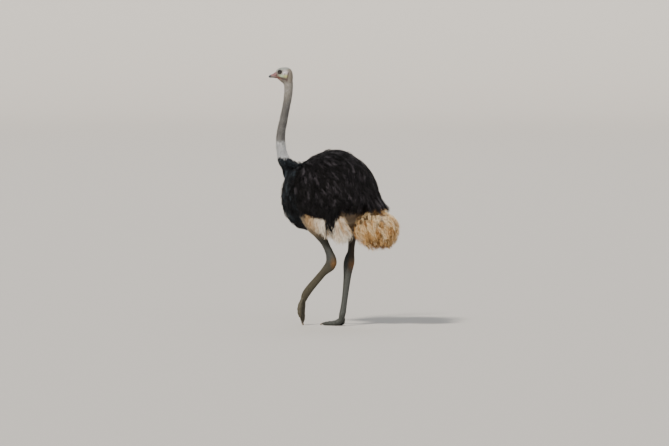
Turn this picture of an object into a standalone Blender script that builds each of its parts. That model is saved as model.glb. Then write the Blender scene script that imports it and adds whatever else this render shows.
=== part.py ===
"""Life-size male ostrich, a still museum model caught in mid-stride.

The bird faces -Y and its left side is +X. Tables give places as forward, left and up, in metres,
and world() turns them into the scene's axes. Each named part of the body is one closed solid, out to
the tips of its feathers, and neighbours keep a thin gap.
"""

import bpy
import bmesh
import numpy as np

GAP = 0.0003  # clearance between two neighbouring solids
FLOOR = 0.0  # every sole and claw that carries the bird ends flat at this height
CENTRE_FORWARD = -0.016  # middle of the bird's length, tail to bill, which becomes the origin

# The head's own frame: its middle plane runs through OCCIPUT and turns left by HEAD_TURN.
OCCIPUT = (0.440, 0.0)  # forward and left of the back of the skull
HEAD_TURN = np.radians(28.0)
BILL_BASE = 5  # the head station where the horn of the bill begins
EYE_ALONG, EYE_UP, EYE_OUT, EYE_RADIUS = 0.118, 2.2595, 0.0205, 0.0180

# How finely each shape is faceted: rings along it, and sides round a ring.
HEAD_SIDES = 20
BILL_RINGS, BILL_SIDES = 8, 13
EYE_RINGS, EYE_SIDES = 9, 14
NECK_RINGS, NECK_SIDES = 32, 16
TRUNK_RINGS, TRUNK_SIDES = 23, 28
WING_RINGS, WING_SIDES = 12, 16
PLUME_RINGS, PLUME_SIDES = 10, 12
TAIL_RINGS, TAIL_SIDES = 12, 24
LEG_RINGS, LEG_SIDES = 26, 14
BIG_TOE_RINGS, BIG_TOE_SIDES = 9, 12
SMALL_TOE_RINGS, SMALL_TOE_SIDES = 7, 10
CLAW_RINGS, CLAW_SIDES = 5, 8

# Powers that fill the corners of an oval; at 1 it is a plain ellipse.
BODY_SQUARENESS = 0.9
HEAD_SQUARENESS = 0.85

# Colours as linear values, with roughness.
FINISHES = {
    "black_plumage": ((0.010, 0.010, 0.011, 1.0), 0.85),
    "white_plumage": ((0.62, 0.50, 0.34, 1.0), 0.85),
    "buff_plumage": ((0.45, 0.25, 0.11, 1.0), 0.85),
    "neck_down": ((0.46, 0.43, 0.39, 1.0), 0.9),
    "leg_skin": ((0.13, 0.13, 0.12, 1.0), 0.7),
    "head_skin": ((0.40, 0.36, 0.32, 1.0), 0.8),
    "bill_horn": ((0.42, 0.14, 0.12, 1.0), 0.45),
    "claw_horn": ((0.06, 0.05, 0.045, 1.0), 0.5),
    "eye": ((0.020, 0.010, 0.006, 1.0), 0.05),
}

# Skull and bill, in the head's plane: along from the occiput and height of the upper outline, the
# same of the lower outline, and half the width. The bill runs from the first row, its tip, to the
# row BILL_BASE.
HEAD_STATIONS = (
    (0.2205, 2.2225, 0.2200, 2.2165, 0.0075),
    (0.2110, 2.2335, 0.2105, 2.2105, 0.0165),
    (0.1960, 2.2400, 0.1940, 2.2085, 0.0225),
    (0.1810, 2.2450, 0.1770, 2.2075, 0.0265),
    (0.1690, 2.2530, 0.1620, 2.2050, 0.0295),
    (0.1570, 2.2670, 0.1480, 2.1995, 0.0325),
    (0.1430, 2.2860, 0.1340, 2.1905, 0.0360),
    (0.1260, 2.2970, 0.1200, 2.1800, 0.0385),
    (0.1040, 2.3025, 0.1070, 2.1710, 0.0398),
    (0.0800, 2.3045, 0.0970, 2.1620, 0.0400),
    (0.0560, 2.3035, 0.0900, 2.1540, 0.0395),
    (0.0340, 2.2960, 0.0860, 2.1470, 0.0385),
    (0.0170, 2.2810, 0.0830, 2.1400, 0.0375),
    (0.0065, 2.2570, 0.0812, 2.1320, 0.0368),
    (0.0025, 2.2280, 0.0800, 2.1230, 0.0362),
    (0.0020, 2.1960, 0.0792, 2.1130, 0.0358),
)
MOUTH_DROP = 0.42  # the mouth line's place between the upper (1) and the lower outline (0)

# Neck, from the throat down to the breast: forward, left, up, half width, half depth.
NECK_STATIONS = (
    (0.4755, 0.0190, 2.2150, 0.0240, 0.0280),
    (0.4755, 0.0188, 2.1680, 0.0360, 0.0390),
    (0.4780, 0.0180, 2.1150, 0.0385, 0.0410),
    (0.4870, 0.0140, 2.0500, 0.0385, 0.0400),
    (0.5050, 0.0090, 1.9700, 0.0370, 0.0380),
    (0.5280, 0.0040, 1.8900, 0.0370, 0.0380),
    (0.5500, 0.0000, 1.8100, 0.0390, 0.0405),
    (0.5700, 0.0000, 1.7300, 0.0410, 0.0425),
    (0.5770, 0.0000, 1.6600, 0.0425, 0.0445),
    (0.5720, 0.0000, 1.5850, 0.0450, 0.0470),
    (0.5560, 0.0000, 1.5200, 0.0510, 0.0525),
    (0.5270, 0.0000, 1.4550, 0.0630, 0.0620),
    (0.4750, 0.0000, 1.3800, 0.0980, 0.0860),
    (0.4050, 0.0000, 1.3100, 0.1380, 0.1150),
)
NECK_SPLITS = (11, 21)  # rings where the neck is parted into three lengths

# Trunk in its black coat: forward, upper edge, lower edge, half width.
TRUNK_STATIONS = (
    (0.520, 1.195, 1.115, 0.040),
    (0.506, 1.270, 1.030, 0.098),
    (0.470, 1.335, 0.955, 0.150),
    (0.410, 1.385, 0.890, 0.196),
    (0.340, 1.425, 0.858, 0.232),
    (0.250, 1.478, 0.848, 0.260),
    (0.140, 1.543, 0.852, 0.276),
    (0.030, 1.575, 0.862, 0.280),
    (-0.080, 1.562, 0.878, 0.276),
    (-0.185, 1.512, 0.905, 0.258),
    (-0.275, 1.452, 0.945, 0.222),
    (-0.345, 1.362, 0.982, 0.178),
    (-0.400, 1.250, 1.008, 0.130),
    (-0.452, 1.150, 1.026, 0.080),
    (-0.485, 1.088, 1.038, 0.032),
)

# Left wing in its black coverts: forward, upper edge, lower edge, outermost point.
WING_STATIONS = (
    (0.385, 1.260, 1.150, 0.205),
    (0.360, 1.340, 1.070, 0.245),
    (0.300, 1.420, 1.000, 0.285),
    (0.210, 1.470, 0.955, 0.312),
    (0.100, 1.500, 0.930, 0.325),
    (-0.020, 1.500, 0.925, 0.326),
    (-0.140, 1.460, 0.940, 0.312),
    (-0.235, 1.390, 0.965, 0.284),
    (-0.310, 1.295, 0.985, 0.248),
    (-0.365, 1.195, 1.005, 0.212),
    (-0.395, 1.120, 1.035, 0.185),
)
WING_ROOT = 0.150  # how far from the middle plane the wing's own section is centred

# Left fan of white wing plumes, hanging under the wing: forward, upper edge, lower edge, inner side,
# outer side.
PLUME_STATIONS = (
    (0.132, 0.985, 0.905, 0.266, 0.292),
    (0.105, 1.005, 0.875, 0.248, 0.310),
    (0.045, 1.020, 0.850, 0.232, 0.326),
    (-0.030, 1.020, 0.812, 0.222, 0.334),
    (-0.115, 1.015, 0.775, 0.218, 0.336),
    (-0.200, 1.005, 0.745, 0.214, 0.330),
    (-0.275, 0.985, 0.728, 0.210, 0.314),
    (-0.330, 0.945, 0.740, 0.212, 0.290),
    (-0.355, 0.885, 0.780, 0.222, 0.266),
)

# Mop of tail plumes: up, forward, half length, half width.
TAIL_STATIONS = (
    (1.062, -0.400, 0.045, 0.045),
    (1.040, -0.412, 0.105, 0.092),
    (1.000, -0.425, 0.158, 0.130),
    (0.950, -0.436, 0.200, 0.158),
    (0.900, -0.442, 0.219, 0.171),
    (0.850, -0.447, 0.221, 0.173),
    (0.800, -0.450, 0.201, 0.160),
    (0.760, -0.450, 0.165, 0.134),
    (0.728, -0.450, 0.112, 0.094),
    (0.710, -0.450, 0.050, 0.045),
)

TAIL_LOBES, LOBE_DEPTH = 8, 0.03  # bunches of plumes round the mop, and how far each swells

# Each leg from inside the trunk to the root of the toes: forward, left, up, half width, half depth.
# The right leg stands with its foot under the bird's weight, and the left one is at the end of
# its swing, with the foot hanging and the claw's tip on the floor.
LEG_STATIONS = {
    "right": (
        (-0.020, -0.160, 1.085, 0.080, 0.100),
        (-0.038, -0.165, 1.005, 0.090, 0.116),
        (-0.062, -0.160, 0.925, 0.088, 0.112),
        (-0.084, -0.148, 0.850, 0.066, 0.076),
        (-0.098, -0.135, 0.785, 0.042, 0.044),
        (-0.104, -0.122, 0.725, 0.031, 0.033),
        (-0.103, -0.108, 0.655, 0.030, 0.035),
        (-0.100, -0.097, 0.605, 0.038, 0.050),
        (-0.095, -0.089, 0.552, 0.042, 0.055),
        (-0.093, -0.078, 0.500, 0.037, 0.046),
        (-0.095, -0.062, 0.430, 0.031, 0.037),
        (-0.096, -0.038, 0.320, 0.027, 0.031),
        (-0.095, -0.014, 0.210, 0.026, 0.028),
        (-0.094, 0.006, 0.130, 0.029, 0.031),
        (-0.091, 0.017, 0.090, 0.033, 0.031),
        (-0.086, 0.019, 0.062, 0.030, 0.026),
    ),
    "left": (
        (0.140, 0.160, 1.085, 0.080, 0.100),
        (0.120, 0.165, 1.005, 0.090, 0.116),
        (0.096, 0.160, 0.925, 0.088, 0.112),
        (0.067, 0.148, 0.850, 0.068, 0.080),
        (0.040, 0.135, 0.785, 0.043, 0.046),
        (0.011, 0.125, 0.725, 0.031, 0.035),
        (-0.018, 0.112, 0.655, 0.031, 0.039),
        (-0.032, 0.105, 0.605, 0.037, 0.051),
        (-0.030, 0.100, 0.556, 0.042, 0.055),
        (0.007, 0.099, 0.517, 0.037, 0.047),
        (0.051, 0.098, 0.482, 0.030, 0.036),
        (0.107, 0.096, 0.425, 0.027, 0.035),
        (0.174, 0.094, 0.360, 0.028, 0.037),
        (0.225, 0.092, 0.306, 0.031, 0.038),
        (0.257, 0.090, 0.262, 0.035, 0.036),
        (0.271, 0.090, 0.225, 0.032, 0.029),
    ),
}
HOCK_RING = 13  # where the leg is parted into drumstick and shank

# Toes from their root to the tip: forward, left, up, half width, half depth.
TOE_STATIONS = {
    "toe_big_right": (
        (-0.094, 0.021, 0.082, 0.026, 0.024),
        (-0.074, 0.023, 0.048, 0.031, 0.032),
        (-0.044, 0.025, 0.026, 0.034, 0.030),
        (0.004, 0.027, 0.019, 0.033, 0.024),
        (0.049, 0.028, 0.017, 0.031, 0.022),
        (0.079, 0.029, 0.015, 0.024, 0.018),
        (0.094, 0.029, 0.014, 0.012, 0.010),
    ),
    "toe_small_right": (
        (-0.094, 0.005, 0.074, 0.020, 0.020),
        (-0.078, -0.017, 0.045, 0.022, 0.025),
        (-0.050, -0.039, 0.023, 0.023, 0.027),
        (-0.012, -0.055, 0.016, 0.022, 0.021),
        (0.016, -0.063, 0.013, 0.018, 0.017),
        (0.032, -0.067, 0.012, 0.009, 0.009),
    ),
    "toe_big_left": (
        (0.266, 0.090, 0.246, 0.026, 0.025),
        (0.281, 0.090, 0.196, 0.031, 0.030),
        (0.288, 0.090, 0.148, 0.034, 0.028),
        (0.287, 0.090, 0.102, 0.033, 0.025),
        (0.283, 0.090, 0.066, 0.030, 0.023),
        (0.279, 0.090, 0.042, 0.021, 0.017),
        (0.276, 0.090, 0.031, 0.011, 0.010),
    ),
    "toe_small_left": (
        (0.268, 0.106, 0.238, 0.020, 0.020),
        (0.274, 0.126, 0.200, 0.022, 0.023),
        (0.276, 0.143, 0.160, 0.023, 0.025),
        (0.272, 0.154, 0.120, 0.022, 0.021),
        (0.264, 0.159, 0.091, 0.017, 0.017),
        (0.258, 0.161, 0.076, 0.008, 0.008),
    ),
}
CLAW_STATIONS = {
    "claw_right": (
        (0.064, 0.028, 0.022, 0.0140, 0.0120),
        (0.089, 0.029, 0.019, 0.0125, 0.0105),
        (0.114, 0.030, 0.013, 0.0095, 0.0080),
        (0.134, 0.031, 0.006, 0.0050, 0.0050),
    ),
    "claw_left": (
        (0.286, 0.090, 0.062, 0.0130, 0.0125),
        (0.286, 0.090, 0.040, 0.0125, 0.0115),
        (0.282, 0.090, 0.018, 0.0110, 0.0100),
        (0.275, 0.090, -0.002, 0.0085, 0.0080),
    ),
}


def world(places):
    """Forward, left, up, measured from the middle of the bird's length, as scene axes."""
    places = np.asarray(places, dtype=float)
    return np.stack([places[..., 1], CENTRE_FORWARD - places[..., 0], places[..., 2]], axis=-1)


def smooth_rows(table, count):
    """The table read at `count` even steps along a cubic that passes smoothly through its rows."""
    rows = np.asarray(table, dtype=float)
    keys = np.arange(len(rows), dtype=float)
    slopes = np.gradient(rows, keys, axis=0)
    at = np.linspace(0.0, len(rows) - 1.0, count)
    start = np.minimum(at.astype(int), len(rows) - 2)
    t = (at - start)[:, None]
    return (
        rows[start] * (1 + 2 * t) * (1 - t) ** 2
        + rows[start + 1] * t**2 * (3 - 2 * t)
        + slopes[start] * t * (1 - t) ** 2
        - slopes[start + 1] * t**2 * (1 - t)
    )


def oval(sides, squareness=1.0):
    """Cosines and sines round one turn; squareness under 1 fills the corners of the oval."""
    turn = 2 * np.pi * (np.arange(sides) + 0.5) / sides
    cosines, sines = np.cos(turn), np.sin(turn)
    return (
        np.sign(cosines) * np.abs(cosines) ** squareness,
        np.sign(sines) * np.abs(sines) ** squareness,
    )


def rings_round(centres, wide, deep, sides, squareness=1.0, lobes=0, lobe_depth=0.0):
    """One oval ring per centre, spanned by the vectors wide and deep (half the oval's size). Lobes
    swell and pinch the ring that many times round, by the share lobe_depth."""
    cosines, sines = oval(sides, squareness)
    swell = 1 + lobe_depth * np.cos(lobes * 2 * np.pi * np.arange(sides) / sides)
    return (
        centres[:, None, :]
        + (swell * cosines)[None, :, None] * wide[:, None, :]
        + (swell * sines)[None, :, None] * deep[:, None, :]
    )


def rings_along(stations, count, sides, side_way=(1.0, 0.0, 0.0)):
    """Oval rings square to a path of stations: forward, left, up, half width, half depth."""
    rows = smooth_rows(stations, count)
    centres = world(rows[:, :3])
    path = np.gradient(centres, axis=0)
    path /= np.linalg.norm(path, axis=1)[:, None]
    wide = np.asarray(side_way) - path * (path @ np.asarray(side_way))[:, None]
    wide /= np.linalg.norm(wide, axis=1)[:, None]
    deep = np.cross(path, wide)
    return rings_round(centres, wide * rows[:, 3:4], deep * rows[:, 4:5], sides)


def parted(rings, splits):
    """The rings shared out into lengths, each pulled back by half a gap where it is parted."""
    path = np.gradient(rings.mean(axis=1), axis=0)
    path /= np.linalg.norm(path, axis=1)[:, None]
    lengths = []
    edges = (0, *splits, len(rings) - 1)
    for first, last in zip(edges[:-1], edges[1:]):
        length = rings[first : last + 1].copy()
        if first > 0:
            length[0] += path[first] * GAP / 2
        if last < len(rings) - 1:
            length[-1] -= path[last] * GAP / 2
        lengths.append(length)
    return lengths


def finish(name):
    """One material per finish, made on first use."""
    if name in bpy.data.materials:
        return bpy.data.materials[name]
    colour, roughness = FINISHES[name]
    material = bpy.data.materials.new(name)
    material.use_nodes = True
    shader = material.node_tree.nodes["Principled BSDF"]
    shader.inputs["Base Color"].default_value = colour
    shader.inputs["Roughness"].default_value = roughness
    shader.inputs["Metallic"].default_value = 0.0
    return material


def placed(name, mesh, finish_name):
    """A new object in the bird's collection, shaded smooth but for sharp rims."""
    mesh.materials.append(finish(finish_name))
    mesh.shade_smooth()
    mesh.set_sharp_from_angle(angle=np.radians(50))
    part = bpy.data.objects.new(name, mesh)
    bpy.data.collections["ostrich"].objects.link(part)
    return part


def loft(name, rings, finish_name):
    """A closed solid whose skin runs through the rings, with a flat cap on each end."""
    count, sides = rings.shape[:2]
    shape = bmesh.new()
    points = [[shape.verts.new(point) for point in ring] for ring in rings]
    for ring, following in zip(points[:-1], points[1:]):
        for i in range(sides):
            j = (i + 1) % sides
            shape.faces.new((ring[i], ring[j], following[j], following[i]))
    shape.faces.new(points[0][::-1])
    shape.faces.new(points[count - 1])
    bmesh.ops.triangulate(shape, faces=shape.faces[:])
    bmesh.ops.recalc_face_normals(shape, faces=shape.faces[:])
    mesh = bpy.data.meshes.new(name)
    shape.to_mesh(mesh)
    shape.free()
    return placed(name, mesh, finish_name)


def space_of(part):
    """A hidden copy of a part before it is trimmed, grown by one gap on every side, to cut with."""
    shape = bmesh.new()
    shape.from_mesh(part.data)
    shape.normal_update()
    moves = [vertex.normal * (GAP * vertex.calc_shell_factor()) for vertex in shape.verts]
    for vertex, move in zip(shape.verts, moves):
        vertex.co += move
    mesh = bpy.data.meshes.new(part.name + "_space")
    shape.to_mesh(mesh)
    shape.free()
    space = bpy.data.objects.new(part.name + "_space", mesh)
    bpy.data.collections["cutters"].objects.link(space)
    space.hide_render = True
    space.display_type = "WIRE"
    return space


def largest_piece(shape):
    """Leaves only the largest connected piece of a bmesh."""
    unseen = set(shape.verts)
    pieces = []
    while unseen:
        piece = {unseen.pop()}
        edge_of_piece = list(piece)
        while edge_of_piece:
            for edge in edge_of_piece.pop().link_edges:
                fresh = {v for v in edge.verts if v in unseen}
                unseen -= fresh
                piece |= fresh
                edge_of_piece.extend(fresh)
        pieces.append(piece)
    kept = max(pieces, key=len)
    spare = [vertex for vertex in shape.verts if vertex not in kept]
    bmesh.ops.delete(shape, geom=spare, context="VERTS")


def trim(part, *spaces):
    """Takes the spaces of its neighbours out of a part."""
    for space in spaces:
        cut = part.modifiers.new("clear_of_" + space.name, "BOOLEAN")
        cut.operation = "DIFFERENCE"
        cut.solver = "EXACT"
        cut.object = space
    graph = bpy.context.evaluated_depsgraph_get()
    mesh = bpy.data.meshes.new_from_object(part.evaluated_get(graph))
    part.modifiers.clear()
    shape = bmesh.new()
    shape.from_mesh(mesh)
    largest_piece(shape)
    bmesh.ops.remove_doubles(shape, verts=shape.verts[:], dist=GAP / 100)
    bmesh.ops.triangulate(shape, faces=shape.faces[:])
    shape.to_mesh(mesh)
    shape.free()
    part.data = mesh


def head_places(along, out, up):
    """Places given along the head, out to its left and up, as scene axes."""
    forward = OCCIPUT[0] + along * np.cos(HEAD_TURN) - out * np.sin(HEAD_TURN)
    left = OCCIPUT[1] + along * np.sin(HEAD_TURN) + out * np.cos(HEAD_TURN)
    return world(np.stack(np.broadcast_arrays(forward, left, up), axis=-1))


def head_rings(rows, first_turn, last_turn, sides, closed_below=False):
    """Rings between the upper and lower outlines. A turn runs from the left side (0) over the top
    (half pi) and back below. Part of a turn is closed by a straight mouth line."""
    turn = np.linspace(first_turn, last_turn, sides, endpoint=closed_below)[None, :]
    upper_along, upper, lower_along, lower, half_width = (rows[:, i : i + 1] for i in range(5))
    mouth = lower + MOUTH_DROP * (upper - lower)
    share = np.where(np.sin(turn) >= 0, np.sin(turn) * (1 - MOUTH_DROP), np.sin(turn) * MOUTH_DROP)
    level = MOUTH_DROP + share
    along = lower_along + level * (upper_along - lower_along)
    up = mouth + share * (upper - lower)
    out = half_width * np.sign(np.cos(turn)) * np.abs(np.cos(turn)) ** HEAD_SQUARENESS
    return head_places(along, out, up)


def make_head():
    rows = np.asarray(HEAD_STATIONS)
    quarter = np.pi / 2
    skull_rings = head_rings(rows[BILL_BASE:], 0.0, 4 * quarter, HEAD_SIDES)
    skull = loft("head", skull_rings, "head_skin")
    horn = smooth_rows(rows[: BILL_BASE + 1], BILL_RINGS)
    horn[-1, 0] += GAP
    horn[-1, 2] += GAP
    mouth = horn[:, 3] + MOUTH_DROP * (horn[:, 1] - horn[:, 3])
    rings = head_rings(horn, 0.0, 2 * quarter, BILL_SIDES, closed_below=True)
    rings[:, :, 2] = np.maximum(rings[:, :, 2], mouth[:, None] + GAP / 2)
    loft("bill_upper", rings, "bill_horn")
    rings = head_rings(horn, 2 * quarter, 4 * quarter, BILL_SIDES, closed_below=True)
    rings[:, :, 2] = np.minimum(rings[:, :, 2], mouth[:, None] - GAP / 2)
    loft("bill_lower", rings, "bill_horn")
    space = space_of(skull)
    for side, out in (("left", EYE_OUT), ("right", -EYE_OUT)):
        place = head_places(EYE_ALONG, out, EYE_UP)
        bpy.ops.mesh.primitive_uv_sphere_add(
            segments=EYE_SIDES, ring_count=EYE_RINGS, radius=EYE_RADIUS, location=place
        )
        ball = bpy.context.object
        mesh = ball.data.copy()
        mesh.name = "eye_" + side
        mesh.transform(ball.matrix_world)
        bpy.data.objects.remove(ball)
        trim(skull, space_of(placed("eye_" + side, mesh, "eye")))
    return space


def make_neck(head_space, trunk_space):
    rings = rings_along(NECK_STATIONS, NECK_RINGS, NECK_SIDES)
    lengths = parted(rings, NECK_SPLITS)
    names = ("neck_upper", "neck_middle", "neck_lower")
    finishes = ("neck_down", "neck_down", "black_plumage")
    upper, _, lower = [loft(*each) for each in zip(names, lengths, finishes)]
    trim(upper, head_space)
    trim(lower, trunk_space)


def upright_rings(rows, middle, half, sides):
    """Rings in planes across the body: rows hold forward, upper edge and lower edge; middle and
    half give the ring's centre and half width from left to right."""
    centres = world(np.stack([rows[:, 0], middle, (rows[:, 1] + rows[:, 2]) / 2], axis=-1))
    wide = np.stack([half, 0 * half, 0 * half], axis=-1)
    deep = np.stack([0 * half, 0 * half, (rows[:, 1] - rows[:, 2]) / 2], axis=-1)
    return rings_round(centres, wide, deep, sides, BODY_SQUARENESS)


def make_trunk():
    rows = smooth_rows(TRUNK_STATIONS, TRUNK_RINGS)
    rings = upright_rings(rows, 0 * rows[:, 3], rows[:, 3], TRUNK_SIDES)
    return space_of(loft("trunk", rings, "black_plumage"))


def make_wing(side, sign, *spaces):
    rows = smooth_rows(WING_STATIONS, WING_RINGS)
    half = rows[:, 3] - WING_ROOT
    rings = upright_rings(rows, sign * (WING_ROOT + 0 * half), half, WING_SIDES)
    wing = loft("wing_" + side, rings, "black_plumage")
    space = space_of(wing)
    trim(wing, *spaces)
    return space


def make_plumes(side, sign, *spaces):
    rows = smooth_rows(PLUME_STATIONS, PLUME_RINGS)
    middle = sign * (rows[:, 3] + rows[:, 4]) / 2
    rings = upright_rings(rows, middle, (rows[:, 4] - rows[:, 3]) / 2, PLUME_SIDES)
    trim(loft("wing_plumes_" + side, rings, "white_plumage"), *spaces)


def make_tail(trunk_space):
    rows = smooth_rows(TAIL_STATIONS, TAIL_RINGS)
    nought = 0 * rows[:, 0]
    centres = world(np.stack([rows[:, 1], nought, rows[:, 0]], axis=-1))
    wide = np.stack([rows[:, 3], nought, nought], axis=-1)
    deep = np.stack([nought, rows[:, 2], nought], axis=-1)
    rings = rings_round(centres, wide, deep, TAIL_SIDES, lobes=TAIL_LOBES, lobe_depth=LOBE_DEPTH)
    tail = loft("tail", rings, "buff_plumage")
    space = space_of(tail)
    trim(tail, trunk_space)
    return space


def on_floor(rings):
    """Rings with whatever would reach below the floor flattened onto it."""
    rings[:, :, 2] = np.maximum(rings[:, :, 2], FLOOR)
    return rings


def make_leg(side, trunk_space):
    rings = rings_along(LEG_STATIONS[side], LEG_RINGS, LEG_SIDES)
    upper, lower = parted(rings, (HOCK_RING,))
    drumstick = loft("drumstick_" + side, upper, "leg_skin")
    drumstick_space = space_of(drumstick)
    trim(drumstick, trunk_space)
    shank_space = space_of(loft("shank_" + side, lower, "leg_skin"))
    stations = TOE_STATIONS["toe_big_" + side]
    big_rings = on_floor(rings_along(stations, BIG_TOE_RINGS, BIG_TOE_SIDES))
    big = loft("toe_big_" + side, big_rings, "leg_skin")
    big_space = space_of(big)
    trim(big, shank_space)
    stations = TOE_STATIONS["toe_small_" + side]
    small_rings = on_floor(rings_along(stations, SMALL_TOE_RINGS, SMALL_TOE_SIDES))
    trim(loft("toe_small_" + side, small_rings, "leg_skin"), shank_space, big_space)
    stations = CLAW_STATIONS["claw_" + side]
    claw_rings = on_floor(rings_along(stations, CLAW_RINGS, CLAW_SIDES))
    trim(loft("claw_" + side, claw_rings, "claw_horn"), big_space)
    return drumstick_space


def main():
    for thing in list(bpy.data.objects):
        bpy.data.objects.remove(thing)
    for name in ("ostrich", "cutters"):
        collection = bpy.data.collections.new(name)
        bpy.context.scene.collection.children.link(collection)
    trunk_space = make_trunk()
    make_neck(make_head(), trunk_space)
    tail_space = make_tail(trunk_space)
    for side, sign in (("left", 1.0), ("right", -1.0)):
        leg_space = make_leg(side, trunk_space)
        wing_space = make_wing(side, sign, trunk_space, leg_space, tail_space)
        make_plumes(side, sign, trunk_space, wing_space, leg_space, tail_space)


main()
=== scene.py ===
"""Looks of a life-size male ostrich: one skin over body and limbs, feathers of solid mesh over it,
horn bill and claws, wet eyes, and a plain studio round the bird.

The bird faces -Y, its left side is +X and up is +Z, in metres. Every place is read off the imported
solids, by rays from their middles, and the skin lies inside them by the depth of the coat.
"""

import bpy
import numpy as np
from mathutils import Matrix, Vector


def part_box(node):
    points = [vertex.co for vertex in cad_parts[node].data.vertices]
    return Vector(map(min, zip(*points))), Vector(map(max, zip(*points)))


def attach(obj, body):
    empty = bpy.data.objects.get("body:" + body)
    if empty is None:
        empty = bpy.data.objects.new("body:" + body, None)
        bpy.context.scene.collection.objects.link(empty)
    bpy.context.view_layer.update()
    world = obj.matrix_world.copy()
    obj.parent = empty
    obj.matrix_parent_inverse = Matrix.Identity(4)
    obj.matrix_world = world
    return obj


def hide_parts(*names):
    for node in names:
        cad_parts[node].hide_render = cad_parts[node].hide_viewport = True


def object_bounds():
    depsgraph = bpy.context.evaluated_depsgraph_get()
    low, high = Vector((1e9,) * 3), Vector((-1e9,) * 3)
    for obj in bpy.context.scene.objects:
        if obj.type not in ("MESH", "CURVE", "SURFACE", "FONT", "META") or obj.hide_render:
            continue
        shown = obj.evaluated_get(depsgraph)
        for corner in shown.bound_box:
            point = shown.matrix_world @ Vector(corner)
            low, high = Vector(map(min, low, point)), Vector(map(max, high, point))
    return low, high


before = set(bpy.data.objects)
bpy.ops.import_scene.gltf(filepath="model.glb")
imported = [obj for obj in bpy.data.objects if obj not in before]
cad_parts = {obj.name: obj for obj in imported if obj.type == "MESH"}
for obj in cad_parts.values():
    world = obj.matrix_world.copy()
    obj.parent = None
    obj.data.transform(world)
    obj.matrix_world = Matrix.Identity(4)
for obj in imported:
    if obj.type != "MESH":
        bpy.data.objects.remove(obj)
cad_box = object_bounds()

UP = np.array([0.0, 0.0, 1.0])
BACK = np.array([0.0, 1.0, 0.0])
LEFT = np.array([1.0, 0.0, 0.0])
SIDES = (("left", 1.0), ("right", -1.0))
PATCH = 0.003  # size of one plume's patch on the bake map
GOLDEN = 0.6180339887  # golden ratio: steps of it round a turn never come to lie together
FAR = 9.0  # metres, past everything
RAYS = 400  # rays that are followed at once
NECK = ("neck_upper", "neck_middle", "neck_lower")


# ---------------------------------------------------------------- small sums


def unit(vectors):
    """Vectors along the last axis, made one long."""
    return vectors / np.maximum(np.linalg.norm(vectors, axis=-1, keepdims=True), 1e-12)


def ease(values, low=0.0, high=1.0):
    """0 below low, 1 above high, and an S-curve between."""
    t = np.clip((values - low) / (high - low), 0.0, 1.0)
    return t * t * (3 - 2 * t)


def hump(values, middle, half):
    """Bell curve: 1 at the middle, 0.37 at one half width from it."""
    return np.exp(-(((values - middle) / half) ** 2))


def cubic_read(rows, at):
    """A table read at fractional rows: the cubic through each pair with its neighbours' slopes."""
    rows = np.asarray(rows, dtype=float)
    slopes = np.gradient(rows, axis=0)
    start = np.clip(np.asarray(at).astype(int), 0, len(rows) - 2)
    t = (np.asarray(at) - start).reshape(-1, *[1] * (rows.ndim - 1))
    return (
        rows[start] * (1 + 2 * t) * (1 - t) ** 2
        + rows[start + 1] * t**2 * (3 - 2 * t)
        + slopes[start] * t * (1 - t) ** 2
        - slopes[start + 1] * t**2 * (1 - t)
    )


def cubic_turn(table, count):
    """A table whose second axis is one turn, read at `count` even angles."""
    sides = table.shape[1]
    wrapped = np.concatenate([table[:, -3:], table, table[:, :4]], axis=1)
    at = 3 + np.arange(count) * sides / count
    return cubic_read(wrapped.swapaxes(0, 1), at).swapaxes(0, 1)


def blurred(table, times):
    """A table blended with its neighbours along both axes; its ends stay, and the turn closes."""
    for _ in range(times):
        ends = table[0].copy(), table[-1].copy()
        table = np.concatenate([table[:1], table, table[-1:]])
        table = (table[:-2] + 2 * table[1:-1] + table[2:]) / 4
        table = (np.roll(table, 1, axis=1) + 2 * table + np.roll(table, -1, axis=1)) / 4
        table[0], table[-1] = ends
    return table


def unfaceted(table):
    """A table of radii freed of its facets, with what the blur took off put back."""
    soft = blurred(table, 1)
    return soft + blurred(table - soft, 1)


def ripple(places, size, seed):
    """Soft noise, mostly from -1 to 1, in lumps of about `size` metres: twice the mean of nine
    waves whose ways and phases are drawn."""
    rng = np.random.default_rng(seed)
    ways = unit(rng.normal(size=(9, 3))) * (2 * np.pi / size) * rng.uniform(0.35, 0.8, (9, 1))
    return np.sin(places @ ways.T + rng.uniform(0, 6.28, 9)).mean(axis=-1) * 2


def lengths_along(path):
    """Length so far at each place of a path."""
    return np.r_[0.0, np.cumsum(np.linalg.norm(np.diff(path, axis=0), axis=1))]


# ---------------------------------------------------------------- reading the solids


def middle_of(name):
    """Middle of a CAD node's box."""
    low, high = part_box(name)
    return (np.array(low) + np.array(high)) / 2


def points_of(mesh):
    """Places of a mesh's points."""
    points = np.empty(len(mesh.vertices) * 3, np.float32)
    mesh.vertices.foreach_get("co", points)
    return points.reshape(-1, 3).astype(float)


def triangles_of(*names):
    """Corners of the triangles of these CAD nodes."""
    corners = []
    for name in names:
        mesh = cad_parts[name].data
        mesh.calc_loop_triangles()
        index = np.empty(len(mesh.loop_triangles) * 3, np.int32)
        mesh.loop_triangles.foreach_get("vertices", index)
        corners.append(points_of(mesh)[index].reshape(-1, 3, 3))
    return np.concatenate(corners)


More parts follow.
